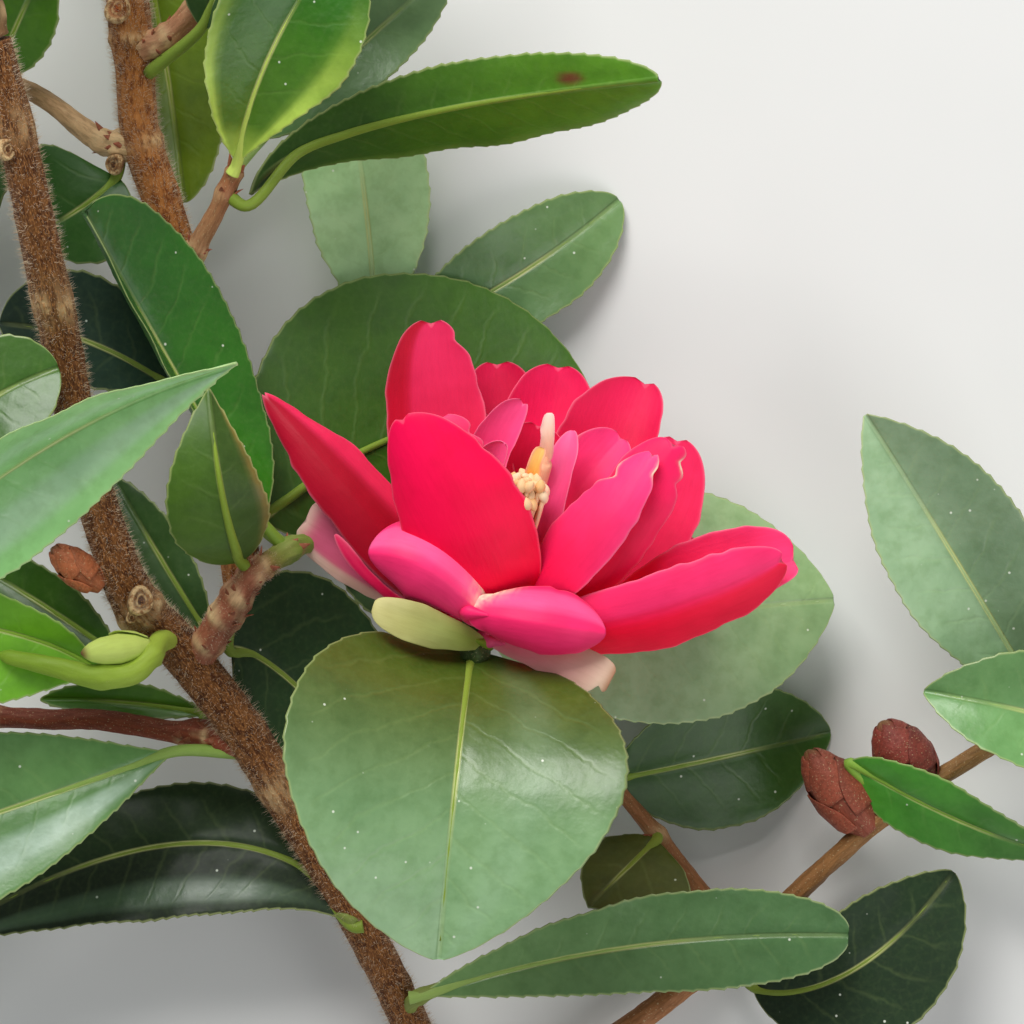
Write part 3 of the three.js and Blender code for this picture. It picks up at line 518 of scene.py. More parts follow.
# %% Spray rows
# name, its twigs as rows of [x, y, z, radius], then its leaves. A leaf's row: name, twig, place along the
# twig (0 to 1), stalk [dx, dy, dz], [heading, rise, length], half widths [right, left], roll about the
# midrib, [arch, sweep, where the bend comes early], then, where they aren't the usual ones, the fold and
# the curl of each half and how blunt foot and tip are.
SPRAYS = [
  ["flower_spray", [
    ["flower_twig", [[-36, -17, 26, 1.8], [-33.5, -13.5, 29, 1.8], [-31.5, -10.5, 30.5, 1.7],
      [-29.5, -7.5, 31, 1.4], [-27, -5.5, 30.4, 1.3], [-23.5, -3.6, 27, 1.1], [-18.5, -4, 24, 1.1],
      [-12.5, -7.5, 23.4, 1.2], [-8, -11.5, 25.5, 1.2], [-4.5, -14.5, 28.5, 1.2]]],
  ], [
    ["front", "flower_twig", 1, [0, -1, 2.5], [-96, 24.5, 36.8], [20, 18.2], 2, [9.5, -0.5, 1],
      [6, 1], [18, 10], [0.66, 0.78]],
    ["upright", "flower_twig", 0.5, [-3, 3.5, 1.6], [119, 12, 40], [10, 8.5], -38, [-4.5, -3, 1],
      [12, 41], [-4, 20], [0.65, 0.45]],
    ["upright_small", "flower_twig", 0.36, [-1.5, 1.5, 1.5], [99, 20, 20.5], [6.5, 5], 172, [-5, -1, 1],
      [3, 3], [12, 13], [0.5, 0.9]],
    ["far_right", "flower_twig", 0.51, [-3.5, 3, -4.4], [20.5, -19, 43], [19, 15.5], 179, [4.5, -4, 1],
      [1, 4], [16, 15], [0.85, 0.75]],
    ["pale_right", "flower_twig", 0.96, [3.5, -1.5, -7.5], [6.5, -15.5, 42], [13, 15.5], 5, [1, 0.5, 1],
      [3, -6], [3, 3], [0.75, 0.75]],
    ["shade_left", "flower_twig", 0.93, [2, -2, -7], [153.5, -25, 19], [3.5, 3], -2, [1, 0, 1],
      [3, 7], [9, 11]],
    ["under_left", "flower_twig", 0.27, [-1.5, -6.5, -6], [-44.5, -21, 27], [7.5, 12.5], 12, [-2, 2.5, 0.7],
      [9, -10], [15, 0], [0.4, 0.85]],
    ["shade_back", "flower_twig", 0.2, [-2.5, -3.5, -8.5], [121.5, -5, 22], [3.5, 2.5], 5, [1, 0, 1],
      [4, 5], [9, 10]],
  ]],
  ["back_spray", [
    ["back_twig", [[-32.5, 2.5, 16, 1.5], [-29.5, 8, 10.5, 1.3], [-24, 13.5, 7, 1.1], [-19, 18, 5.5, 1],
      [-15, 20.5, 5, 0.8]]],
  ], [
    ["back_upright", "back_twig", 0.96, [-0.5, 0.5, 0], [96, 3, 29], [8, 7.5], 0, [0.5, -0.5, 0.9],
      [0, 8], [8, 17], [0.9, 0.5]],
    ["back_right", "back_twig", 1, [1.5, 1, -0.5], [31, -7, 31], [6.5, 6.5], -7, [2, -1.5, 0.8],
      [5, 4], [14, 10], [0.65, 0.6]],
    ["back_low", "back_twig", 0.75, [1.5, -2, -0.5], [-38, -3, 23.5], [7.5, 7.5], 0, [1, 0.5, 1]],
  ]],
  ["upper_spray", [
    ["upper_twig", [[-38, 25.5, 20.5, 1.4], [-36, 30, 24, 1.2], [-33.5, 34, 27, 1], [-31, 39, 29, 0.95]]],
  ], [
    ["long_upper", "upper_twig", 0.81, [2.5, -1.5, 0], [15.5, 18.5, 50.5], [5, 8.5], 147, [7, -1.5, 0.5],
      [7, 15], [21, 16], [0.8, 0.6]],
    ["bright_upper", "upper_twig", 1, [0, 0, 1], [63, 20.5, 29.5], [9, 9], 0, [3.5, 1.5, 1],
      [3, 27], [6, 19], [1.15, 0.65]],
    ["dark_upper", "upper_twig", 1, [2.5, 3.5, -5], [44.5, -16.5, 32], [5, 5], -1, [1.5, 0, 1],
      [3, 6], [8, 11], [0.8, 0.75]],
  ]],
  ["crown_spray", [
    ["crown_twig", [[-44, 60, 25, 2], [-44, 64.5, 25, 1.7], [-44.5, 70, 23.5, 1.4], [-46, 76, 20, 1]]],
  ], [
    ["crown_low", "crown_twig", 0.55, [1.5, -1, -4], [-82, -15, 32.5], [5, 6.5], 5, [1, 0.5, 1],
      [2, 4], [11, 9], [0.7, 0.65]],
    ["crown_tip", "crown_twig", 1, [-0.5, 1, -0.5], [108, -37.5, 31.5], [9.5, 9.5], 6, [4, 0.5, 1]],
    ["crown_right", "crown_twig", 0.82, [1, 0.5, 0.5], [40, -12, 26.5], [9, 9], -6, [4, 0.5, 1]],
    ["crown_left", "crown_twig", 0.55, [-1.5, 0, 1.5], [139, 12, 21.5], [8.5, 8.5], 10, [4, 0.5, 1]],
  ]],
  ["stub_twig", [
    ["stub", [[-43, 52.5, 24.5, 1.6], [-39.5, 53.5, 26, 1.5], [-36.5, 56, 27, 1.4], [-34, 58.5, 27.5, 1.2],
      [-31, 62.5, 27, 1]]],
  ], [
    ["stub_tip", "stub", 1, [0.5, 1, -0.5], [31, -1, 28], [9, 9], -10, [4, 0.5, 1]],
    ["stub_side", "stub", 0.55, [1, -2, 2.5], [55, 14.5, 26.5], [7, 7], 10, [3, 0.5, 1]],
  ]],
  ["left_spray", [
    ["left_twig", [[-42.5, 41.5, 23, 1.5], [-47, 42.5, 21, 1.4], [-50.5, 45, 19, 1.2], [-54.5, 48, 17, 1.1],
      [-61, 51, 14, 0.8]]],
  ], [
    ["left_small", "left_twig", 0.12, [-0.5, -3.5, 0], [-146, -5, 11.5], [8.5, 7], -13, [1, 1, 0.9],
      [6, -5], [9, 4], [0.65, 0.8]],
    ["left_young", "left_twig", 0.92, [-1, -0.5, 3], [61.5, 27, 16.5], [4.5, 4.5], 0, [1, 0, 1],
      [3, -1], [8, 8], [0.85, 0.75]],
    ["left_tip", "left_twig", 1, [-1, 0.5, -0.5], [-170.5, -18, 28], [9, 9], 0, [4, 0.5, 1]],
    ["left_side", "left_twig", 0.92, [-0.5, -1.5, 0.5], [-131.5, -7.5, 27], [8.5, 8.5], 10, [3, 0.5, 1]],
  ]],
  ["front_left_spray", [
    ["front_left_twig", [[-47, 3.5, 34, 1.5], [-52.5, 2, 37, 1.3], [-58, -1, 43, 1.2], [-63.5, -3.5, 50, 1.1],
      [-66.5, -5, 55, 0.9]]],
  ], [
    ["near_big", "front_left_twig", 1, [1, 0, 5], [29.5, -3, 42], [9.5, 10], -52, [-5, -2, 1.1],
      [32, 21], [21, 4], [0.45, 1.1]],
    ["near_small", "front_left_twig", 0.53, [-5.5, 6, -2], [37, 5.5, 18.5], [6.5, 6.5], 11, [1.5, 1.5, 0.9],
      [7, 5], [9, 7], [0.85, 0.55]],
    ["near_tip", "front_left_twig", 1, [-0.5, 0, 0], [162, -20.5, 26], [9, 9], 0, [4, 0.5, 1]],
    ["near_side", "front_left_twig", 0.84, [-0.5, -2, -1], [-152.5, -35, 26.5], [8.5, 8.5], -10, [3, 0.5, 1]],
  ]],
  ["curled_leaf", [
    ["curled_stalk", [[-38.2, -14.2, 28, 1.1], [-39.6, -14.7, 31.5, 1.2], [-40.5, -16.3, 33.6, 1.25],
      [-42.2, -17.9, 34.6, 1.3], [-45.6, -18.4, 35, 1.3], [-50.5, -17.4, 34.2, 1.2],
      [-57.6, -15.9, 33.0, 0.8]]],
  ], [
    ["curled_small", "curled_stalk", 0.3, [-3.8, -0.6, -5.4], [149, -16, 23], [4, 3.5], 4, [1, -0.5, 1],
      [0, 8], [8, 13], [0.85, 0.7]],
    ["curled", "curled_stalk", 0.66, [-0.3, -0.2, -4.6], [168, 2.5, 31], [5.5, 9.5], 19, [0, -3, 0.8],
      [11, 19], [13, 17], [0.95, 0.8]],
  ]],
  ["red_spray", [
    ["red_twig", [[-31, -26.5, 22.5, 1.6], [-35, -25.5, 21.5, 1.5], [-40.5, -25, 20, 1.2],
      [-47.5, -24, 18, 1.2], [-54.5, -24, 16, 1.2], [-63, -23.5, 13, 1.1], [-71, -22, 10, 0.8]]],
  ], [
    ["shade_small", "red_twig", 0.21, [1, 2, -3], [175.5, -11, 20], [2.5, 2], -6, [0.5, -0.5, 0.8]],
    ["glossy", "red_twig", 0.24, [-1, -2, 3], [-161, 2, 45.5], [10.5, 10], -1, [3, 0, 0.9],
      [2, 8], [5, 12], [1.15, 0.7]],
    ["red_tip", "red_twig", 1, [-1, 0, -0.5], [166, -12, 29], [9.5, 9.5], 8, [4, 0.5, 1]],
    ["red_long", "red_twig", 0.94, [0, -1.5, 0], [-114, -15, 40.5], [9, 9], -10, [3, 0.5, 1]],
    ["red_side", "red_twig", 0.78, [0, 1.5, 1], [-163.5, 4.5, 24.5], [7.5, 7.5], 5, [3, 0.5, 1]],
  ]],
  ["low_leaf", [
    ["low_stalk", [[-18, -48, 15.5, 0.9], [-19, -46.8, 17, 0.7], [-20.8, -46.3, 16.2, 0.4]]],
  ], [
    ["low_left", "low_stalk", 0.22, [0, -0.5, 0.5], [-176.5, -6.5, 50.5], [7.5, 9], -21, [3.5, -10, 0.7],
      [-4, -3], [3, 8], [0.65, 1]],
  ]],
  ["low_right_leaf", [
    ["low_right_stalk", [[-12.5, -59, 9, 0.9], [-11, -56.5, 13, 0.8], [-7, -55, 13.5, 0.8]]],
  ], [
    ["low_right", "low_right_stalk", 0.54, [0, 0, 0.5], [8.5, 4, 50.5], [6, 6.5], -11, [0.5, 2.5, 1],
      [7, 7], [7, 11], [0.9, 0.45]],
  ]],
  ["stem_leaf", [
    ["stem_leaf_stalk", [[-35.5, 14.5, 18.5, 0.8], [-37.5, 13.5, 24.5, 0.8], [-39, 14.5, 26.5, 0.8]]],
  ], [
    ["bluish", "stem_leaf_stalk", 0.87, [0, 0, 0], [160, 17.5, 21], [7.5, 5.5], -4, [0.5, -1.5, 1.1],
      [-7, 9], [8, 14], [0.85, 0.6]],
  ]],
  ["right_spray", [
    ["right_shoot", [[-6, -75.5, 4.2, 1.6], [5.5, -67, 4.2, 1.5], [20, -56.5, 4.6, 1.4],
      [27.5, -50.5, 5.6, 1.3], [34, -44.5, 7.4, 1.2], [42, -37, 9.5, 1.1], [52.5, -29.5, 11.5, 1.1],
      [61.5, -24.5, 12.5, 0.9], [69.5, -22.5, 13, 0.8]]],
    ["right_side_twig", [[27.5, -50.5, 5.6, 1.1], [22, -44.5, 7, 1.1], [17, -38, 8.5, 1],
      [11.5, -31.5, 9, 0.8]]],
  ], [
    ["edge_right", "right_shoot", 0.66, [-5.5, 5.5, 2], [-23, 4, 28.5], [5, 5], -47, [1.5, 0, 1.1],
      [9, 1], [14, -10], [0.6, 1.1]],
    ["serrate", "right_shoot", 1, [1.5, -4, 1], [166, 15, 25.5], [7.5, 7.5], -8, [4.5, 0, 1],
      [2, 10], [11, 18], [0.65, 0.8]],
    ["two_toned", "right_shoot", 0.89, [-0.5, 2, -2.5], [122.5, 11.5, 40.5], [9.5, 8.5], -2, [1.5, 0, 1.1],
      [14, 11], [4, 12], [0.95, 0.9]],
    ["dark_right", "right_shoot", 0.34, [3, -4, 0], [31, 7.5, 27.5], [9, 7], 0, [5, -3.5, 0.8],
      [2, 7]],
    ["young_right", "right_side_twig", 0.67, [0, -0.5, 1.5], [-138.5, 29, 12.5], [5.5, 8.5], -20, [0, 0, 0.9],
      [-11, 11], [-6, 2], [0.65, 0.9]],
    ["shade_right", "right_side_twig", 1, [0, 0, 0], [11, -17.5, 28.5], [8.5, 9.5], -11, [0.5, 0, 1],
      [1, 9]],
  ]],
  ["top_spray", [
    ["top_twig", [[-55.5, 51, 53, 1.6], [-56.5, 56, 54.5, 1.4], [-58.5, 61.5, 54.5, 1.1],
      [-60.5, 67, 53, 0.8]]],
  ], [
    ["top_tip", "top_twig", 1, [0, 1, 0], [120, -17, 23.5], [8.5, 8.5], 0, [4, 0.5, 1]],
    ["top_right", "top_twig", 0.85, [1, 0.5, 0], [54, -11, 21.5], [8, 8], 8, [3, 0.5, 1]],
    ["top_left", "top_twig", 0.55, [-2, -0.5, -0.5], [159.5, -15, 23], [8.5, 8.5], -8, [4, 0.5, 1]],
    ["top_low", "top_twig", 0.15, [-2, 0, -1], [-146, -8, 21.5], [8, 8], 6, [3, 0.5, 1]],
  ]],
]
LEAF_USUAL = [[8, 8], [10, 10], [0.75, 0.75]]
ROOT_SINK = 1.2
# leaf: where its stalk starts, if that isn't on its twig
OWN_ROOTS = {"stub_side": [-41.4, 49.8, 25.2], "glossy": [-30.8, -27.6, 21.6]}
print("sprays:", len(SPRAYS), "leaves:", sum(len(leaves) for _, _, leaves in SPRAYS))

# %% [markdown]
# ## A blade
# A blade could be a flat card with a picture of a leaf. Here it is a thin closed loft: each half
# folds up from the midrib and curls on towards its edge, the outline is a power of the distance
# from each end, and small teeth run along the margin. Petals are made by the same function, with
# a notch and a ragged margin in place of teeth.

# %% Blade
# millimetres along the leaf from one side vein, or one tooth, to the next
VEIN_GAP = 4.4
TOOTH_GAP = 1.7
LEAST_CURL = 0.02
LEAST_HALF_WIDTH = 0.12


def blade_frame(size, roll):
    """A blade's direction, upward normal and side: heading is measured from +X round +Z, rise from the
    ground, and the roll turns normal and side about the direction."""
    heading, rise = np.radians(size[:2])
    along = np.array([np.cos(rise) * np.cos(heading), np.cos(rise) * np.sin(heading), np.sin(rise)])
    up = squared(np.array([0.0, 0.0, 1.0]), along)
    across = np.cross(up, along)
    turn = np.radians(roll)
    return along, up * np.cos(turn) + across * np.sin(turn), across * np.cos(turn) - up * np.sin(turn)


def midline(base, size, roll, bend, t):
    """The midrib: base + length t along, plus arch and sweep times 4e(1 - e), where e = t ^ early."""
    along, normal, side = blade_frame(size, roll)
    e = np.clip(t, 0, 1) ** bend[2]
    bump = (4 * e * (1 - e))[..., None]
    return base + size[2] * t[..., None] * along + bend[0] * bump * normal + bend[1] * bump * side


def crest_share(t, foot, tip):
    """Share of the full half width at t: t^foot (1 - t)^tip, scaled so that its crest is 1."""
    crest = foot / (foot + tip)
    return t ** foot * (1 - t) ** tip / (crest ** foot * (1 - crest) ** tip)


def half_widths(row, s, t, tooth, rough, bites, seed):
    """Width of the half at every point: its greatest times the crest share, plus teeth, which are a saw in t,
    and slow and ragged noise. These reach in from the margin as |s|^6. A bite (at, width, depth, side) narrows
    one half round t = at."""
    length, greatest, ends = row[0][2], row[1], row[6]
    left = s >= 0
    half = np.where(left, greatest[1], greatest[0])
    saw = (length * t / TOOTH_GAP) % 1.0
    teeth = tooth * (saw ** 1.6 - 0.4) * np.clip(t / 0.12, 0, 1) * np.clip((1 - t) / 0.06, 0, 1)
    slow = 0.04 * half * soft_noise(t * 6 + 3 * left, t * 0 + 0.5, seed)
    ragged = rough * np.clip(t * 1.5 - 0.3, 0, 1) * soft_noise(t * length * 0.8, left * 7.0 + 0.4, seed + 9)
    margin = teeth + (slow + ragged) * crest_share(t, 1, 1)
    w = np.maximum(half * crest_share(t, *ends) + margin * np.abs(s) ** 6, LEAST_HALF_WIDTH)
    for at, width, depth, side in bites:
        w = w * (1 - depth * np.exp(-np.abs((t - at) / width) ** 1.6) * (s * side > 0))
    return w


def relief_of(length, s, t, w, wave, groove, seed):
    """How far the surface stands out: a wave that grows with s^2, less a groove along the midrib, a bell
    0.5 mm wide, and less side veins, which are a fifth as deep and lean forward by 0.62 of the way out."""
    q, left = np.abs(s), s >= 0
    waves = np.sin(length * t / 1.9 + seed) + soft_noise(t * 7, left * 5.0 + 0.3, seed + 3)
    phase = (length * t - 0.62 * q * w + 2.0 * left) / VEIN_GAP
    veins = 0.2 * np.exp(-((phase % 1.0 - 0.5) / 0.13) ** 2) * np.clip((1 - q) * w / 3, 0, 1)
    sunk = groove * (np.exp(-(s * w / 0.5) ** 2) + veins)
    return wave * q ** 2 * waves * crest_share(t, 0.6, 0.6) - sunk


def blade(base, row, rows, cols, thick, seed, wave, tooth=0.0, groove=0.0, notch=0.0, rough=0.0, bites=()):
    """A thin closed blade. Round the loop s runs from one margin to the other and back, above where sin a > 0.
    A half is an arc: fold f at the midrib and f + curl at the margin, so at share q of the half width w the
    surface is w (sin(f + cq) - sin f) / c out and w (cos f - cos(f + cq)) / c up.
    Returns the points and flow of the rings, and s and t at each."""
    size, _, roll, bend, fold, curl, _ = row
    u = np.linspace(0, 1, rows)
    t = inset(0.5 * u + 0.25 * (1 - np.cos(np.pi * u)), 0.004)
    above = np.sin(angles(cols))
    level = np.cos(angles(cols))
    s, t = np.broadcast_arrays(np.sign(level) * np.abs(level) ** 1.5, t[:, None])
    w = half_widths(row, s, t, tooth, rough, bites, seed)
    after, before = (midline(base, size, roll, bend, t[:, 0] + step) for step in (0.004, -0.004))
    tangent = unit(after - before)
    normal = squared(blade_frame(size, roll)[1], tangent)
    side = np.cross(normal, tangent)[:, None]
    normal = normal[:, None]
    ramp = np.clip(t / 0.1, 0, 1) ** 0.7
    f = np.radians(np.where(s >= 0, fold[1], fold[0])) * ramp
    c = np.radians(np.where(s >= 0, curl[1], curl[0])) * ramp
    c = np.where(np.abs(c) < LEAST_CURL, LEAST_CURL, c)
    turn = f + c * np.abs(s)
    out = w * (np.sin(turn) - np.sin(f)) / c * np.sign(s)
    lift = w * (np.cos(f) - np.cos(turn)) / c
    face = normal * np.cos(turn)[..., None] - side * (np.sign(s) * np.sin(turn))[..., None]
    thin = np.sqrt(np.clip(crest_share(t, 0.3, 0.3), 0, 1))
    deep = 0.5 * thick * np.sign(above) * np.abs(above) ** 0.6 * (0.35 + 0.65 * thin)
    deep = deep + relief_of(size[2], s, t, w, wave, groove, seed)
    centre = midline(base, size, roll, bend, t - notch * np.exp(-(s / 0.5) ** 2) * t ** 8)
    grid = centre + side * out[..., None] + normal * lift[..., None] + face * deep[..., None]
    return grid, np.stack([s * w, t * size[2], (1 - np.abs(s)) * w], -1), s, t


shares = np.linspace(0.01, 0.99, 99)
print("a leaf 40 mm long is widest at", round(40 * shares[crest_share(shares, 0.75, 0.75).argmax()], 1), "mm")

# %% [markdown]
# ## The colours of each leaf
# No two leaves match: the young ones are yellow-green, those near the light are blue-green with a sheen,
# which is a painted reflection of the sky, and the inner ones are nearly black-green with painted shade.
# So each leaf gets its own foot and tip colour and a shade for each half, the darker half painted shade, and
# some get bands, the pale ones painted sheen where light falls on a fold.

# %% Leaf colours
# name: foot colour, tip colour, shade of the right and left half
# are partly a painted reflection of the sky; the near-black greens of under_left, low_left, bluish and
# dark_right are painted
# painted sheen: the palest blue-green colours, as of front's tip, near_big, pale_right, back_upright, two_toned
# and glossy,
# shade, and a half's shade well below 1, as on low_left, two_toned and upright_small, is painted shade on the
# half turned from the light
LEAF_COLOURS = {
    "front": ((72, 96, 28), (166, 200, 172), (0.82, 0.86)),
    "upright": ((62, 120, 38), (50, 104, 36), (1.0, 0.9)),
    "upright_small": ((76, 106, 8), (66, 98, 8), (1.1, 0.62)),
    "far_right": ((58, 96, 0), (70, 116, 0), (0.9, 1.05)),
    "pale_right": ((198, 222, 204), (160, 182, 154), (0.9, 1.1)),
    "shade_left": ((44, 68, 26), (50, 78, 34), (1, 1)),
    "under_left": ((30, 58, 24), (42, 74, 34), (0.95, 1.05)),
    "shade_back": ((58, 88, 46), (66, 96, 54), (1, 1)),
    "back_upright": ((196, 226, 194), (198, 228, 196), (0.9, 1.05)),
    "back_right": ((100, 134, 98), (120, 150, 110), (1, 0.92)),
    "long_upper": ((38, 72, 2), (98, 150, 30), (0.9, 1.15)),
    "bright_upper": ((236, 255, 130), (44, 102, 0), (1, 1.05)),
    "dark_upper": ((112, 144, 108), (138, 164, 130), (1, 0.9)),
    "crown_low": ((120, 144, 44), (128, 150, 48), (1, 0.95)),
    "left_small": ((48, 94, 20), (56, 102, 26), (0.95, 1.05)),
    "left_young": ((80, 124, 34), (96, 140, 42), (1, 1)),
    "near_big": ((156, 210, 152), (184, 228, 182), (1.0, 1.0)),
    "near_small": ((68, 100, 44), (78, 112, 54), (1, 1)),
    "curled_small": ((62, 96, 32), (70, 106, 36), (1, 1)),
    "curled": ((138, 196, 62), (128, 188, 52), (1, 1.05)),
    "shade_small": ((96, 142, 42), (84, 130, 38), (1, 1)),
    "glossy": ((104, 146, 92), (128, 164, 124), (1.0, 0.95)),
    "low_left": ((34, 56, 22), (28, 50, 20), (1.1, 0.5)),
    "low_right": ((116, 146, 104), (92, 126, 92), (0.9, 1.1)),
    "bluish": ((40, 66, 60), (36, 58, 54), (1, 1.05)),
    "edge_right": ((84, 158, 60), (84, 128, 72), (0.9, 1.05)),
    "serrate": ((134, 178, 130), (122, 162, 118), (0.72, 1.1)),
    "two_toned": ((162, 188, 170), (174, 196, 184), (0.58, 1.1)),
    "dark_right": ((20, 46, 18), (26, 52, 22), (1, 1)),
    "young_right": ((86, 88, 24), (92, 96, 28), (1, 1)),
}
# leaf: bands of another colour between two places across, as (low, high, colour, most)
# a fold; upright_small's band is its brown margin
# painted sheen: the pale bands of front, near_big, low_left and glossy stand in for the sky's reflection where
# light falls on
LEAF_BANDS = {
    "upright_small": [(0.8, 1.3, (140, 112, 50), 0.75)],
    "front": [(-1.4, 1.4, (84, 96, 22), 0.6, 0.62), (0.3, 0.6, (170, 200, 170), 0.15)],
    "bright_upper": [(-0.7, 0.8, (34, 100, 0), 0.85)],
    "near_big": [(-0.7, -0.35, (196, 224, 196), 0.6), (0.3, 0.6, (190, 220, 190), 0.45)],
    "low_left": [(0.5, 0.8, (120, 150, 118), 0.4)],
    "long_upper": [(0.85, 1.3, (120, 150, 62), 0.5)],
    "glossy": [(0.35, 0.75, (200, 222, 206), 0.65)],
}
LEAF_USUAL_COLOURS = ((56, 90, 38), (70, 106, 48), (1, 0.94))
LEAF_GREENING = np.array([0.82, 0.92, 0.62])


def soft_side(x):
    """A soft step from 0 to 1 where x passes 0: half of 1 + tanh x."""
    return 0.5 + 0.5 * np.tanh(x)


def two_halves(colours, s, share, sharp):
    """Foot colour changing to tip colour with the share, times the shade of the half."""
    foot, tip, shades = colours
    # the shade of a half, where it is well below 1, is painted shade on the half turned from the light
    return blend(paint(*foot), paint(*tip), share[..., None]) * blend(*shades, soft_side(s * sharp))[..., None]


def banded(colour, s, t, bands):
    """The colour with bands laid along it: each is the product of two soft steps across, fades in at the foot
    and, where a fifth number says so, ends there."""
    for low, high, other, most, *until in bands:
        band = most * soft_side((s - low) / 0.06) * soft_side((high - s) / 0.06) * np.clip(t / 0.2, 0, 1)
        if until:
            band = band * np.clip((until[0] - t) / 0.3, 0, 1)
        # some bands are painted sheen, highlight or shade, and others the leaf's or petal's own colour
        colour = blend(colour, paint(*other), band[..., None])
    return colour


def leaf_tint(name, s, t):
    """Foot to tip colour by 3t^2 - 2t^3, made greener, then bands and, on one leaf, a brown spot. The fourth
    number is 1 - 0.4 t on the upper side and 0.4 t on the lower, which is a trace more olive."""
    colours = LEAF_COLOURS.get(name, LEAF_USUAL_COLOURS)
    # painted sheen and painted shade come in with LEAF_COLOURS and LEAF_BANDS
    colour = two_halves(colours, s, t * t * (3 - 2 * t), 6) * LEAF_GREENING
    colour = banded(colour, s, t, LEAF_BANDS.get(name, ()))
    if name == "long_upper":
        spot = np.exp(-(((t - 0.795) / 0.032) ** 2 + ((s + 0.3) / 0.17) ** 2) ** 2)
        colour = blend(colour, paint(108, 46, 26), spot[..., None])
    cols = s.shape[1]
    upper = (np.arange(cols) < cols // 2 + 1)[:, None] * 1.0
    below = blend(colour, paint(128, 150, 60), 0.03)
    t = t[..., None]
    return with_mark(blend(below, colour, upper), blend(0.4 * t, 1 - 0.4 * t, upper))


print("colours for", len(LEAF_COLOURS), "leaves, bands on", len(LEAF_BANDS))

# %% [markdown]
# ## The look of a leaf
# Light on a leathery leaf breaks up on its veins, its uneven skin and dust. A picture could be
# laid on it, but the veins can be worked out from flow, at any size: how far along and out a
# point is gives its place between two veins. Cells, blotches and dust are noise over that.

# %% Leaf finish
def leaf_finish():
    """Curved side veins leave the midrib every 4.4 mm; a net of small cells lies between them. Both sink a
    little above and stand out below. Midrib and margin are paler, and the upper side is glossier, least so
    where the leaf is dark."""
    leaf = Finish("camellia_leaf", Coat_Weight=0.12, Coat_Roughness=0.2, Specular_IOR_Level=0.42)
    upper = leaf.step(leaf.mark, 0.45, 0.55)
    t = leaf.times(leaf.maths("SUBTRACT", 0.5, leaf.far_from(leaf.mark, 0.5)), 2.5)
    across, along, margin = leaf.node("ShaderNodeSeparateXYZ", {"Vector": leaf.flow}).outputs
    clouds = leaf.grain(leaf.place, 170, 3.0, 0.6)
    blotch = leaf.grain(leaf.place, 480, 3.0, 0.6)
    fine = leaf.grain(leaf.place, 1700, 2.0, 0.5)

    out = leaf.maths("ABSOLUTE", across)
    shift = leaf.times(leaf.maths("GREATER_THAN", across, 0.0), 2.0)
    lean = leaf.plus(along, leaf.times(out, -0.62), leaf.times(clouds, 3.0), shift)
    gap = leaf.far_from(leaf.maths("FRACT", leaf.maths("DIVIDE", lean, VEIN_GAP)), 0.5)
    veins = leaf.times(leaf.step(gap, 0.0, 0.09, 1, 0), leaf.step(margin, 0.8, 4.0))
    rib = leaf.step(out, 0.16, 0.42, 1, 0)
    inner = leaf.times(leaf.step(margin, 0.4, 3.5, 0.05, 0.75), leaf.step(t, 0.5, 0.75, 1, 0.15))
    cell_places = {"Vector": leaf.place, "Scale": 620.0}
    cells = leaf.node("ShaderNodeTexVoronoi", cell_places, feature="DISTANCE_TO_EDGE")
    net = leaf.step(cells.outputs["Distance"], 0.02, 0.14, 1, 0)
    dust = leaf.node("ShaderNodeTexVoronoi", {"Vector": leaf.place, "Scale": 600.0})
    chosen = leaf.maths("GREATER_THAN", leaf.maths("FRACT", leaf.times(dust.outputs["Color"], 7.0)), 0.78)
    dot = leaf.times(leaf.step(dust.outputs["Distance"], 0.05, 0.12, 0.8, 0), chosen)

    colour = leaf.layered(
        (leaf.step(clouds, 0.35, 0.7, 0.0, 0.55), (0.62, 0.72, 0.62), "MULTIPLY"),
        (leaf.step(blotch, 0.4, 0.7, 0, 0.6), (0.76, 0.8, 0.7), "MULTIPLY"),
        (leaf.step(fine, 0.45, 0.75, 0, 0.03), paint(150, 176, 110)),
        (leaf.times(veins, 0.05), paint(168, 190, 112)),
        (leaf.times(net, 0.01), paint(168, 190, 120)),
        (leaf.times(rib, inner), paint(196, 202, 124)),
        (leaf.step(margin, 0.08, 0.36, 0.5, 0), paint(176, 186, 120)),
        (leaf.times(dot, upper), paint(226, 232, 214)))

    bright = leaf.node("ShaderNodeRGBToBW", {"Color": leaf.tint}).outputs[0]
    dull = leaf.step(bright, 0.02, 0.12, 0.45, 0)
    rough = leaf.plus(leaf.step(upper, 0, 1, 0.5, 0.27), leaf.times(fine, 0.12), dull)
    sunk = leaf.plus(leaf.times(veins, 0.3), leaf.times(net, 0.03), rib)
    ribs = leaf.times(sunk, leaf.step(upper, 0, 1, 1.0, -1.0))
    height = leaf.plus(ribs, leaf.times(clouds, 1.6), leaf.times(blotch, 0.9))
    return leaf.done(colour, rough, height, 0.45)


LEAF = leaf_finish()

# %% [markdown]
# ## The look of young wood
# Twigs and leaf stalks are young wood, red, brown or green by age. One finish serves them all:
# the tint gives the colour, and its fourth number says how woody a place is, so the green ones
# stay smooth while the brown ones are streaked and dotted.

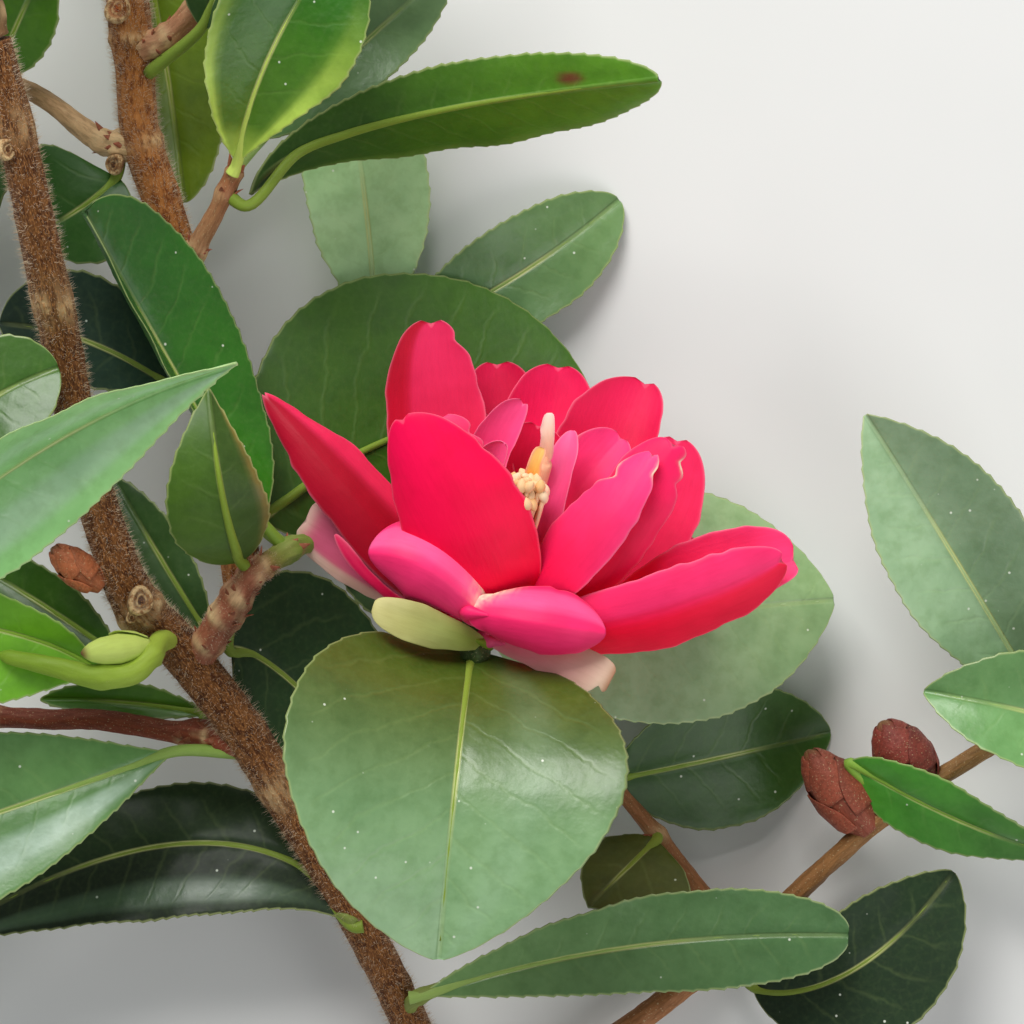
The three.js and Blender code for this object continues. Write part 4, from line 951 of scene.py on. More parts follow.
# %% Young wood finish
def young_wood_finish():
    """Fine streaks along the twig with a scatter of pale dots, a soft sheen, and slight relief."""
    wood = Finish("young_wood", Sheen_Weight=0.03, Specular_IOR_Level=0.35)
    streak = wood.grain(wood.squeezed_flow(1, 1, 0.22), 2.4, 4.0, 0.65)
    speck = wood.grain(wood.flow, 4.5, 2.0, 0.6)
    colour = wood.layered(
        (wood.times(wood.step(streak, 0.4, 0.65, 0, 0.8), wood.mark), (0.62, 0.6, 0.55), "MULTIPLY"),
        (wood.times(wood.step(speck, 0.62, 0.7, 0, 0.45), wood.mark), paint(206, 196, 150)))
    return wood.done(colour, wood.step(streak, 0.3, 0.7, 0.5, 0.7), wood.times(streak, wood.mark), 0.6)


YOUNG_WOOD = young_wood_finish()

# %% [markdown]
# ## Twigs and leaf stalks
# A twig is a tube with small swellings where its leaves sit, and pointed scales round them. A
# leaf stalk is one too: it starts inside the twig, runs to the foot of the blade and on below it,
# thinner and thinner, as the midrib. They could be one mesh with the blade, but tubes that sink
# into each other need no seam.

# %% Twigs
# twig: foot colour, tip colour
TWIG_COLOURS = {
    "flower_twig": ((156, 92, 66), (118, 140, 58)),
    "red_twig": ((140, 68, 42), (116, 52, 32)),
    "curled_stalk": ((168, 188, 70), (134, 168, 50)),
    "stub": ((186, 134, 98), (160, 104, 74)),
    "front_left_twig": ((112, 84, 54), (104, 108, 52)),
    "upper_twig": ((186, 146, 104), (150, 92, 56)),
    "left_twig": ((226, 188, 138), (176, 132, 88)),
    "right_shoot": ((164, 104, 64), (136, 104, 56)),
    "right_side_twig": ((160, 104, 66), (150, 100, 60)),
    "low_stalk": ((122, 134, 62), (120, 134, 62)),
    "low_right_stalk": ((122, 134, 62), (120, 134, 62)),
    "stem_leaf_stalk": ((112, 112, 56), (112, 124, 58)),
}
TWIG_USUAL = ((132, 96, 62), (112, 104, 50))
# smooth ones, with no scales or cream patches
BARE_STALKS = ("curled_stalk", "low_stalk", "low_right_stalk", "stem_leaf_stalk")
# twig: where it turns from brown to green
TWIG_TURNS = {"flower_twig": 0.43}
# twig: more knobs along its old wood
TWIG_KNOBS = {
    "flower_twig": (0.08, 0.17, 0.25, 0.33, 0.41, 0.6),
    "stub": (0.08, 0.18, 0.3, 0.62),
    "red_twig": (0.1, 0.16),
    "left_twig": (0.06, 0.14, 0.24),
    "upper_twig": (0.3, 0.36),
}
GOLDEN_ANGLE = np.radians(137.5)


def twig_rings(name, rows, marks, seed, sides=24):
    """A twig: its radius, plus bells where leaves sit, plus noise; its colour goes from foot to tip."""
    length = length_of(rows, 200)
    t = np.linspace(0, 1, max(int(length / 0.4), 8))
    points, radii = curve(rows, t)
    flow = round_flow(sides, 1.3, length_along(points))
    x, y, z = np.moveaxis(flow, -1, 0)
    relief = soft_noise(x * 2 + 0.3 * z, y * 2 + 0.2 * z, seed) + 0.5 * soft_noise(x * 5, y * 5 + z, seed + 1)
    swell = bells(t, [(at, 0.22) for at in marks], 1.1 / length)
    swell = swell + bells(t, [(at, 0.2) for at in TWIG_KNOBS.get(name, ())], 0.7 / length)
    round_tip = np.clip((1 - t) * length / 0.8, 0.02, 1) ** 0.5
    lumps = (radii * round_tip)[:, None] * (1 + 0.09 * relief) + swell[:, None] * (1 + 0.5 * relief)
    foot, tip = TWIG_COLOURS.get(name, TWIG_USUAL)
    turn = TWIG_TURNS.get(name)
    share = (t if turn is None else soft_side((t - turn) / 0.04))[:, None, None]
    patches = np.clip(0.35 + 1.3 * soft_noise(x * 0.9 + 5, y * 0.9 + 0.8 * z, seed + 2), 0, 1)
    pale = np.clip(swell * 3.6, 0, 0.9)[:, None, None] * (1 - 0.6 * share) * patches[..., None]
    pale = pale * (name not in BARE_STALKS)
    colour = blend(blend(paint(*foot), paint(*tip), share), SCAR_CREAM, pale)
    woody = 0.25 if name in BARE_STALKS else 1 - 0.6 * share * (turn is not None)
    return rings(tube(points, lumps, sides), with_mark(colour, woody), flow)


def spots_on(rows, at, angle, steps, depth):
    """Places on the skin of a twig, at shares of its length and angles round it: the points, the ways out of
    the twig and the ways along it."""
    points, radii = curve(rows, np.linspace(0, 1, steps))
    tangent, normal, side = frames_along(points)
    k = (at * (steps - 1)).astype(int)
    out = normal[k] * np.cos(angle)[:, None] + side[k] * np.sin(angle)[:, None]
    return points[k] + out * radii[k][:, None] * depth, out, tangent[k]


def bract_rings(rows, places, seed):
    """Small pointed scales, three round each place on a twig: each is a flat cone that leans forward."""
    rng = np.random.default_rng(seed)
    at = np.repeat(np.clip(places, 0.02, 0.98), 3)
    count = len(at)
    angle = np.arange(count) * GOLDEN_ANGLE + rng.normal(0, 0.3, count)
    foot, out, along = spots_on(rows, at, angle, 300, 0.8)
    lean = unit(out * rng.uniform(0.3, 0.8, (count, 1)) + along)
    ring = circle(angles(10), np.cross(lean, out), 0.4 * out)[:, None]
    t = np.linspace(0, 1, 9)[:, None, None]
    wide = 0.62 * (1 - t ** 1.6) + 0.04
    length = rng.uniform(1.0, 1.7, (count, 1, 1, 1))
    scale = t * length * lean[:, None, None] + wide * ring + 0.3 * t ** 2 * out[:, None, None]
    colour = blend(paint(150, 92, 62), paint(158, 84, 60), t)
    return rings(foot[:, None, None] + scale, with_mark(colour), scale)


def stalk_rings(root, base, row, colour):
    """A leaf stalk: a tube from the twig to the blade's foot and on under the blade, where its radius is
    0.16 + 0.5 (1 - t)^1.4 mm."""
    size, _, roll, bend = row[:4]
    t = np.linspace(0, 0.95, 9)
    radius = 0.16 + 0.5 * (1 - t) ** 1.4
    sink = (0.12 + 0.5 * radius) * np.clip(t / 0.1, 0, 1)
    under = midline(base, size, roll, bend, t) - blade_frame(size, roll)[1] * sink[:, None]
    points, radii = curve([[*root, 0.8], *np.column_stack([under, radius])], np.linspace(0, 1, 90))
    flow = round_flow(12, 0.7, length_along(points))
    return rings(tube(points, radii, 12), np.append(colour, 0.25), flow)


print("green stalks without scales:", BARE_STALKS)

# %% [markdown]
# ## The sprays
# Twigs and leaves of one spray could be one object, but wood and leaf take different finishes.
# So each spray becomes two pieces, one for its twigs and stalks and one for its blades. A leaf
# that the near view doesn't show gets wider steps.

# %% Sprays
# millimetres from ring to ring, and points in a ring
NEAR_LEAF = (0.34, 44)
FAR_LEAF = (0.5, 28)
LEAF_THICK = 0.42
STALK_GREEN = paint(158, 182, 64)


def spray_parts(number, twig_rows, leaf_rows):
    """The rings of a spray's twigs and stalks, and those of its blades."""
    twigs = dict(twig_rows)
    wood, blades = [], []
    for place, (twig, rows) in enumerate(twig_rows):
        marks = [row[2] for row in leaf_rows if row[1] == twig]
        knobs = sorted(set(marks) | set(TWIG_KNOBS.get(twig, ())))
        if twig not in BARE_STALKS and knobs:
            wood.append(bract_rings(rows, np.array(knobs), 900 + 7 * number + place))
        wood.append(twig_rings(twig, rows, marks, 40 + 7 * number + place))
    for place, (leaf, twig, at, stalk, *rest) in enumerate(leaf_rows):
        row = rest + LEAF_USUAL[len(rest) - 4:]
        on_twig = curve(twigs[twig], np.array([at]))[0][0]
        base = on_twig + np.array(stalk)
        foot = base - ROOT_SINK * blade_frame(row[0], row[2])[0]
        root = OWN_ROOTS.get(leaf, on_twig if np.linalg.norm(stalk) > ROOT_SINK else foot)
        step, cols = NEAR_LEAF if leaf in LEAF_COLOURS else FAR_LEAF
        seed = 100 + 11 * number + place
        grid, flow, s, t = blade(base, row, int(row[0][2] / step), cols, LEAF_THICK, seed,
                                 wave=0.16, tooth=0.26, groove=0.2)
        blades.append(rings(grid, leaf_tint(leaf, s, t), flow))
        # the stalk takes in part of the leaf's foot colour, its painted sheen and painted shade included
        foot_colour = paint(*LEAF_COLOURS.get(leaf, LEAF_USUAL_COLOURS)[0])
        wood.append(stalk_rings(root, base, row, blend(foot_colour, STALK_GREEN, 0.55)))
    return wood, blades


for number, (name, twig_rows, leaf_rows) in enumerate(SPRAYS):
    wood, blades = spray_parts(number, twig_rows, leaf_rows)
    make_piece(f"{name}_twigs", wood, YOUNG_WOOD, [name])
    make_piece(f"{name}_leaves", blades, LEAF, [name])

# %% [markdown]
# ## The bloom
# The bloom is semi-double: crimson petals round a tuft of stamens, some of which have turned into
# narrow petals. A petal is a blade like a leaf's, but thinner, with no teeth, a softly waved edge
# and a notch at its tip. The rows are refined from the CAD model's, and the far petals are fanned
# round the bloom's axis as they are there.

# %% Petal rows
# name, foot of the blade, [heading, rise, length], half widths, roll, bend, fold, curl, ends
PETALS = [
  ["left", [-5.5, -12.5, 28], [131, 5, 34.5], [4, 6], 164,
    [-3.5, -1, 0.9], [7, 6], [37, 38], [0.5, 0.72]],
  ["tall", [-4.5, -11.5, 25], [98, -3.5, 34], [5.6, 6.2], -1,
    [-2.5, 1, 1], [-1, -2], [29, 29], [0.7, 0.42]],
  ["front", [-3, -12.5, 31], [112, 27, 27.8], [6.2, 8.8], 183,
    [-4.5, 1, 0.7], [6, -8], [38, 32], [0.42, 0.5]],
  ["front_inner", [-2.5, -12, 29], [104, 17, 24.5], [4.6, 5.8], 184,
    [-3.6, 0.4, 0.8], [4, -4], [36, 30], [0.5, 0.4]],
  ["outer", [-2.6, -12.2, 38], [150, 4, 15.4], [5.8, 6.4], 180,
    [-2.8, 1.8, 1.3], [14, 14], [58, 54], [0.6, 0.32]],
  ["outer_right", [-4.9, -11, 38.8], [-9, 4, 15.5], [5.6, 4.4], 180,
    [-2.4, 0, 1], [14, 14], [52, 50], [0.5, 0.4]],
  ["right", [1, -13.5, 33], [16, 11, 31], [4.4, 5.2], 158,
    [-3.5, 0.5, 1], [-5, -6], [34, 40], [0.5, 0.4]],
  ["right_inner", [9, -13.5, 31], [19.5, 10, 24.5], [3.4, 5.4], 16,
    [1.5, 0.5, 1], [6, 6], [24, 24], [0.6, 0.3]],
  ["back_right", [-1, -11.5, 25], [58, -6.5, 31.5], [4.3, 7.8], 26,
    [-1.5, -2.5, 0.6], [-12, 12], [35, 39], [1, 0.45]],
  ["inner_right", [0.2, -12.3, 33], [50.5, 16, 25.5], [5.6, 2.6], 190,
    [-3.2, 1.6, 1.1], [9, -2], [34, 20], [0.5, 0.45]],
  ["middle_right", [1.5, -13.5, 31.6], [52, 15, 28], [5.2, 3.8], 184,
    [-2.6, 1.6, 0.9], [4, 3], [32, 28], [0.6, 0.34]],
  ["far_right", [0.5, -13, 28], [49.5, -6, 28.5], [5.5, 5.8], 5,
    [-2, -4.2, 0.9], [-2, 1], [29, 31], [0.8, 0.45]],
  ["back_left", [-3.5, -10.5, 23], [86.5, -14.5, 29], [5.5, 4.6], 6,
    [-2, -0.5, 0.9], [-1, 0], [29, 31], [0.95, 0.4]],
  ["back_middle", [-2, -10.5, 23], [75, -10, 29], [5.5, 6], 6,
    [-1.5, -1, 1], [-1, 7], [28, 33], [1, 0.42]],
  ["ribbon_wide", [-3, -9, 28], [78, -2, 22], [1.8, 3.8], 10,
    [-1, 2.5, 1], [-2, 3], [46, 46], [0.9, 0.45]],
  ["ribbon_tall", [-2.5, -9.5, 30], [84, 8, 17.5], [1.8, 2.8], 19,
    [-1.5, 2.5, 1.1], [2, 1], [43, 45], [0.9, 0.4]],
  ["ribbon_low", [-3.2, -8, 31.5], [62, 14, 13.5], [1.2, 1.6], 30,
    [1.5, 2.2, 1], [4, 6], [50, 52], [0.8, 0.5]],
  ["ribbon_thin", [1.6, -7, 32], [72, 4, 17], [2.0, 2.4], 25,
    [1.5, -1.2, 1], [0, 2], [45, 46], [0.7, 0.5]],
  ["ribbon_right", [1.5, -10.5, 28], [60, 2, 22], [4.2, 4.6], 16,
    [1.5, 1, 1], [4, 6], [30, 30], [0.8, 0.42]],
  ["cream_ribbon", [3.6, 5.4, 35.4], [84, 20, 6], [0.9, 1.1], 10,
    [0.5, -0.3, 1], [3, 3], [40, 40], [0.4, 0.3]],
  ["gold_lobe", [2.2, 3.4, 37.6], [72, 16, 4], [0.8, 1.0], 10,
    [0.7, 0, 1], [10, 10], [60, 60], [0.3, 0.2]],
  ["green_sepal", [-2.8, -14.8, 33], [160, 25.5, 14.8], [2.7, 1.8], 176,
    [-3, 0, 1], [-2, -1], [20, 18], [0.7, 0.34]],
  ["pink_sepal", [-3, -14.4, 33.5], [-17, 15, 15.2], [2.2, 2.6], 190,
    [-0.5, -0.6, 1], [-4, 5], [14, 23], [0.7, 0.22]],
  ["left_sepal", [-5.5, -13, 26], [146.5, 3, 22], [3.6, 5], 196,
    [-2.5, 0.5, 0.8], [-4, -1], [24, 32], [0.7, 0.25]],
  ["strip", [-7, -12.5, 30], [142, 9, 16.5], [0.6, 0.9], 187,
    [-2, -1.5, 1], [0, 0], [40, 39], [1, 0.5]],
]
HEART = np.array([-2.5, -12.2, 30.5])
AXIS = unit(np.array([0.38, 0.72, 0.58]))
SEPALS = ("green_sepal", "pink_sepal", "left_sepal")
# petal: bites out of its margin as (place along it, width, depth, side)
BITES = {
    "middle_right": [(0.86, 0.03, 0.3, 1), (0.94, 0.03, 0.4, 1)],
    "inner_right": [(0.84, 0.04, 0.3, -1), (0.92, 0.03, 0.3, 1)],
    "front_inner": [(0.8, 0.04, 0.3, 1), (0.9, 0.03, 0.3, 1)],
    "tall": [(0.93, 0.03, 0.25, -1)],
    "pink_sepal": [(0.93, 0.04, 0.5, 1)],
}
print("petals and sepals:", len(PETALS))

# %% [markdown]
# ## The colours of each petal
# The petals run from deep crimson at the foot and in the folds, partly their own colour and partly painted
# shade, to pink at the lit rims, a painted highlight, and a few are torn and cream at the edge. Colour could be
# painted on one by one. Rows like those of the leaves do it with the same two helpers, and the rim and the
# tears follow the distance to the margin.

# %% Petal colours
# name: foot colour, tip colour, shade of the right and left half
# painted shade: the deep crimson feet are partly painted shade, and left's darker reds are painted shade on a
# petal turned from the light
PETAL_COLOURS = {
    "left": ((196, 12, 48), (224, 48, 88), (1.0, 0.9)),
    "tall": ((232, 20, 66), (250, 56, 106), (1.0, 1.0)),
    "front": ((255, 0, 62), (255, 12, 84), (1, 1)),
    "outer": ((252, 60, 120), (250, 48, 112), (0.95, 1.05)),
    "outer_right": ((250, 44, 108), (250, 52, 112), (1.05, 0.95)),
    "front_inner": ((236, 20, 72), (252, 66, 118), (1, 1)),
    "ribbon_low": ((250, 40, 100), (255, 70, 130), (1, 1)),
    "cream_ribbon": ((248, 190, 150), (255, 222, 206), (1, 1)),
    "gold_lobe": ((252, 176, 80), (250, 196, 110), (1, 1)),
    "right_inner": ((240, 20, 70), (255, 66, 124), (1, 1)),
    "ribbon_right": ((240, 18, 78), (254, 64, 128), (1, 1)),
    "right": ((248, 4, 58), (252, 52, 112), (1, 0.95)),
    "back_right": ((216, 10, 58), (240, 40, 92), (1, 1)),
    "inner_right": ((255, 8, 72), (255, 70, 136), (1, 1)),
    "middle_right": ((255, 0, 62), (255, 42, 104), (1, 1)),
    "far_right": ((230, 20, 72), (248, 52, 104), (1, 1)),
    "back_left": ((208, 18, 62), (232, 34, 84), (1, 1)),
    "back_middle": ((244, 22, 76), (254, 40, 100), (1, 1)),
    "ribbon_wide": ((252, 40, 110), (255, 84, 144), (1, 1)),
    "ribbon_tall": ((252, 44, 112), (255, 90, 150), (1, 1)),
    "ribbon_thin": ((254, 60, 126), (255, 104, 160), (1, 1)),
    "green_sepal": ((116, 140, 46), (206, 198, 134), (1, 0.85)),
    "pink_sepal": ((224, 84, 128), (232, 206, 178), (1, 1)),
    "left_sepal": ((190, 120, 110), (236, 200, 184), (1, 1)),
    "strip": ((196, 10, 60), (204, 26, 80), (1, 1)),
}
PETAL_USUAL = ((206, 8, 48), (238, 36, 84), (1, 1))
# petal: bands of another colour between two places across, as (low, high, colour, most)
# bands of tall, left and right are painted shade on the fold or side turned from the light; left_sepal's band
# is its own pink
# painted light: the pale bands of left, outer, outer_right and right are painted highlights on a lit rim or
# crest; the deeper red
BANDS = {
    "tall": [(0.5, 1.2, (200, 4, 36), 0.8)],
    "left": [(0.5, 1.2, (250, 44, 92), 0.7), (-1.2, 0.4, (162, 0, 32), 0.8)],
    "outer": [(0.15, 0.7, (255, 120, 178), 0.5), (-1.2, -0.6, (232, 34, 96), 0.6)],
    "outer_right": [(-0.8, -0.3, (255, 118, 178), 0.5), (0.6, 1.2, (232, 34, 92), 0.6)],
    "right": [(-1.2, -0.1, (255, 56, 116), 0.7), (0.1, 1.2, (252, 0, 48), 0.75)],
    "left_sepal": [(-0.6, 1.2, (216, 48, 116), 0.8)],
}
# petal: torn margin as (place along it, width, side, how far it reaches in)
TORN = {
    "outer": [(0.1, 0.14, 1, 3.4)],
    "outer_right": [(0.1, 0.15, -1, 1.5)],
    "inner_right": [(0.86, 0.06, -1, 0.3), (0.94, 0.03, 1, 0.25)],
    "middle_right": [(0.93, 0.03, 1, 0.3)],
    "ribbon_right": [(0.8, 0.04, 1, 0.3)],
}


def petal_tint(name, s, t, margin):
    """Foot colour to tip colour by t^1.5, lighter in the last millimetre before the margin; then bands, a pale
    edge that is a bell in the distance to the margin, and torn places, broken up by noise."""
    colours = PETAL_COLOURS.get(name, PETAL_USUAL)
    tip = paint(*colours[1])
    colour = two_halves(colours, s, t ** 1.5, 4)
    # painted highlight: the last millimetre before the margin turns towards the tip colour, as a lit rim does
    colour = blend(colour, tip, np.exp(-margin / 0.7)[..., None] * 0.35)
    colour = banded(colour, s, t, BANDS.get(name, ()))
    # painted highlight: a pale pink edge in a bell of the distance to the margin; sepals take their tip colour
    # there instead
    edge, edge_colour = 0.4 * np.exp(-(margin / 0.16) ** 2), paint(255, 150, 176)
    if name in SEPALS:
        edge, edge_colour = 0.8 * np.exp(-((1 - t) / 0.05) ** 2), tip
    if name == "pink_sepal":
        edge_colour = paint(150, 92, 56)
    colour = blend(colour, edge_colour, edge[..., None])
    ragged = 0.75 + 0.6 * soft_noise(t * 80, s * 9 + 3, 77)
    for at, width, side, reach in TORN.get(name, ()):
        torn = np.exp(-((t - at) / width) ** 2 - (margin / reach) ** 2) * (s * side > 0)
        colour = blend(colour, paint(250, 222, 190), np.clip(1.4 * torn * ragged, 0, 1)[..., None])
    return with_mark(colour)


print("colours for", len(PETAL_COLOURS), "petals, torn ones:", len(TORN))

# %% [markdown]
# ## The look of a petal
# A petal is satin: fine veins fan along it, and its skin is velvety close up. A velvet shader
# would whiten it at the edges, so the colour is only darkened by the veins, and the velvet is in
# the bump alone. Petals, sepals and stamens share this finish, with their own two colours.

# %% Petal finish
def petal_finish(name, streak_colour, sheen):
    """Satin with fine veins: noise eight times longer along than across darkens the tint and lifts the
    surface a little. Clouds and a fine velvet grain lift it too."""
    petal = Finish(name, Sheen_Weight=0.02, Sheen_Roughness=0.4, Sheen_Tint=(*sheen, 1.0), Roughness=0.5,
                   Specular_IOR_Level=0.18)
    veins = petal.grain(petal.squeezed_flow(1.0, 0.12, 0.0), 2.3, 3.0, 0.6)
    clouds = petal.grain(petal.place, 240, 2.0, 0.5)
    velvet = petal.grain(petal.place, 4500, 2.0, 0.6)
    colour = petal.layered(
        (petal.step(veins, 0.45, 0.7, 0, 0.14), streak_colour, "MULTIPLY"),
        (petal.step(clouds, 0.35, 0.7, 0, 0.35), streak_colour, "MULTIPLY"))
    height = petal.plus(petal.times(veins, 0.6), petal.times(clouds, 1.5), petal.times(velvet, 0.12))
    return petal.done(colour, None, height, 0.35)


PETAL = petal_finish("crimson_petal", paint(226, 190, 205), paint(255, 170, 205))
SEPAL = petal_finish("cream_green_sepal", paint(214, 206, 180), paint(240, 235, 210))

# %% [markdown]
# ## Petals and sepals
# Each petal narrows to a claw that holds it to the heart. The claw could be left out, because the
# blades hide it from the front, but from behind a petal would float. So a short tube joins each
# blade to the heart, in the colour of its foot.

# %% Petals and sepals
PETAL_STEP = 0.32
PETAL_THICK = 0.3
NARROW = 3.6


def around(angle):
    """A direction square to the bloom's axis: 0 is level to the right of it and 90 down its front."""
    right = unit(np.cross(AXIS, [0, 0, 1]))
    return right * np.cos(np.radians(angle)) + np.cross(right, AXIS) * np.sin(np.radians(angle))


def far_petals():
    """Five more petals fanned over the hidden side, every second one more closed and shorter."""
    rows = []
    for i in range(5):
        out = around(232 + 88 * i / 4)
        lean = np.radians(66 - (i % 2) * 14)
        way = AXIS * np.cos(lean) + out * np.sin(lean)
        size = [np.degrees(np.arctan2(way[1], way[0])), np.degrees(np.arcsin(way[2])), 25 - (i % 2) * 2.5]
        shape = [[6.4, 6.4], 0, [-2.5, 0, 1], [0, 0], [30, 30], [0.9, 0.5]]
        rows.append([f"far_{i}", HEART + 2.2 * out, size, *shape])
    return rows


def claw_rings(foot, row, colour):
    """The narrow foot of a petal: a tube from the heart to just inside the blade."""
    size, _, roll, bend = row[:4]
    inside = midline(foot, size, roll, bend, np.array([0.0, 0.08, 0.16]))
    rows = np.column_stack([[HEART, *inside], [1.5, 0.9, 0.5, 0.2]])
    points, radii = curve(rows, np.linspace(0, 1, 24))
    flow = round_flow(16, 1, length_along(points))
    return rings(tube(points, radii, 16), np.append(colour, 1.0), flow)


def petal_parts(rows):
    """Blades and claws of petals or sepals. Narrow ones have a smoother margin, and only the broad inner ones
    are notched at the tip."""
    parts = []
    for place, (name, foot, *row) in enumerate(rows):
        foot = np.array(foot, float)
        narrow = max(row[1]) < NARROW
        outer = name.startswith("outer")
        steps = int(row[0][2] / PETAL_STEP)
        grid, flow, s, t = blade(
            foot, row, steps, 52, PETAL_THICK, 300 + 5 * place, wave=0.08 if outer else 0.2,
            notch=0.0 if narrow or outer else 0.03, rough=0.1 if narrow else 0.4, bites=BITES.get(name, ()))
        parts.append(rings(grid, petal_tint(name, s, t, flow[..., 2]), flow))
        # the claw takes the foot colour, its painted shade included
        parts.append(claw_rings(foot, row, paint(*PETAL_COLOURS.get(name, PETAL_USUAL)[0])))
    return parts


make_piece("bloom_petals", petal_parts([r for r in PETALS if r[0] not in SEPALS]), PETAL, ["bloom"])
make_piece("bloom_far_petals", petal_parts(far_petals()), PETAL, ["bloom"])
make_piece("bloom_sepals", petal_parts([r for r in PETALS if r[0] in SEPALS]), SEPAL, ["bloom"])

# %% [markdown]
# ## The tuft in the middle
# Threads with yellow heads stand round the middle of the bloom. One thread would be easy to copy,
# but real ones splay, so each gets its own head by the golden angle, which spreads any number of
# points evenly over a disc, and a bend of its own. All are worked out at once.

# %% Stamens
HEADS = np.array([1.9, 2.9, 38.8])


def stamen_parts(count, seed):
    """Threads from the heart to heads spread by r = 2.3 sqrt((i + 0.5) / count) and the golden angle, each a
    bend through one loose middle point; then the heads, which are eggs of radius 0.6 sin(pi t) ^ 0.7."""
    rng = np.random.default_rng(seed)
    i = np.arange(count)
    way = unit(HEADS - HEART)
    level = unit(np.cross(way, [0, 0, 1]))
    ring = angles(8)
    spread = circle(i * GOLDEN_ANGLE, level, np.cross(level, way)) * 2.3 * np.sqrt((i + 0.5) / count)[:, None]
    head = HEADS + spread + way * rng.uniform(-1.4, 0.6, (count, 1))
    foot = HEART + spread * 0.35
    middle = 0.5 * (head + foot) + spread * 0.4 + rng.normal(0, 0.3, (count, 3))
    t = np.linspace(0, 1, 14)[:, None]
    path = foot[:, None] * (1 - t) ** 2 + 2 * middle[:, None] * t * (1 - t) + head[:, None] * t ** 2
    path = path[:, :, None]
    cream = blend(paint(236, 60, 84), paint(250, 212, 168), t[..., None] ** 2)
    threads = path + 0.26 * circle(ring, level, np.cross(way, level))
    t = np.linspace(0.02, 0.98, 9)[:, None, None]
    tilt = unit(way + rng.normal(0, 0.45, (count, 3)))
    side = squared(level, tilt)
    egg = 0.6 * np.sin(np.pi * t) ** 0.7 * circle(ring, side, np.cross(tilt, side))[:, None]
    heads = head[:, None, None] + (t - 0.4) * 1.9 * tilt[:, None, None] + egg
    gold = blend(paint(250, 180, 80), paint(255, 226, 190), rng.uniform(0, 1, (count, 1, 1, 1)) ** 0.35)
    return [rings(threads, with_mark(cream), path - HEART), rings(heads, with_mark(gold), heads - HEART)]


STAMEN = petal_finish("cream_stamen", paint(226, 200, 170), paint(255, 235, 200))
make_piece("bloom_stamens", stamen_parts(34, 7), STAMEN, ["bloom"])

# %% [markdown]
# ## The heart of the bloom
# Under the petals sits a small green cup, and below it the end of the flower's stalk. Each could
# be a ready sphere, but rings along the bloom's axis are turned the right way from the start and
# take the same finish as the twigs.

# %% Heart
KNOB = np.array([-4.2, -15.7, 33.2])


def heart_rings():
    """A ball as rings along the bloom's axis: radius 3.2 sin, height 3.0 cos."""
    a = np.linspace(0.08, np.pi - 0.08, 26)
    points = HEART - AXIS * (3.0 * np.cos(a))[:, None]
    grid = tube(points, 3.2 * np.sin(a), 32)
    return rings(grid, np.append(paint(74, 96, 42), 1.0), round_flow(32, 3, 3 * a))


def knob_rings():
    """The dark green end of the flower's stalk: a ball with five soft ribs between the sepals and the leaf."""
    a = np.linspace(0.1, np.pi - 0.1, 20)
    points = KNOB - np.array([0.1, 1, 0.5]) * (1.5 * np.cos(a))[:, None]
    grid = tube(points, (1.7 * np.sin(a))[:, None] * (1 + 0.08 * np.cos(5 * angles(32))), 32)
    return rings(grid, np.append(paint(58, 76, 34), 1.0), grid - HEART)


make_piece("bloom_heart", [heart_rings(), knob_rings()], YOUNG_WOOD, ["bloom"])

# %% [markdown]
# ## Buds
# Two plump winter buds and two small ones sit where leaves join the twigs. A bud is wrapped in
# overlapping scales, so each one is an egg with scales laid over it: a scale is a patch of the
# egg, a little larger, that narrows to a point. The green bud is smooth, with one scale only.

# %% Buds
# foot, tip, greatest radius, colour, how many scales, the part that it sits on
BUDS = [
    ([-46, -8.5, 31.5], [-51.5, -4, 33], 1.9, (190, 108, 68), 9, "main_stem"),
    ([-40.6, -14.9, 33], [-47.8, -15.7, 36.6], 1.85, (206, 226, 112), 1, "curled_leaf"),
    ([42, -37.5, 9.5], [34.5, -28, 10], 3.2, (158, 80, 58), 9, "right_spray"),
    ([48.5, -32.5, 11], [43, -24.5, 12], 3.4, (140, 62, 50), 9, "right_spray"),
]


def egg_share(t):
    """Radius of a bud along its length, as a share of the greatest: straight runs between seven places."""
    return np.interp(t, [0, 0.2, 0.45, 0.7, 0.86, 0.95, 1], [0.45, 0.85, 1, 0.88, 0.62, 0.36, 0.1])


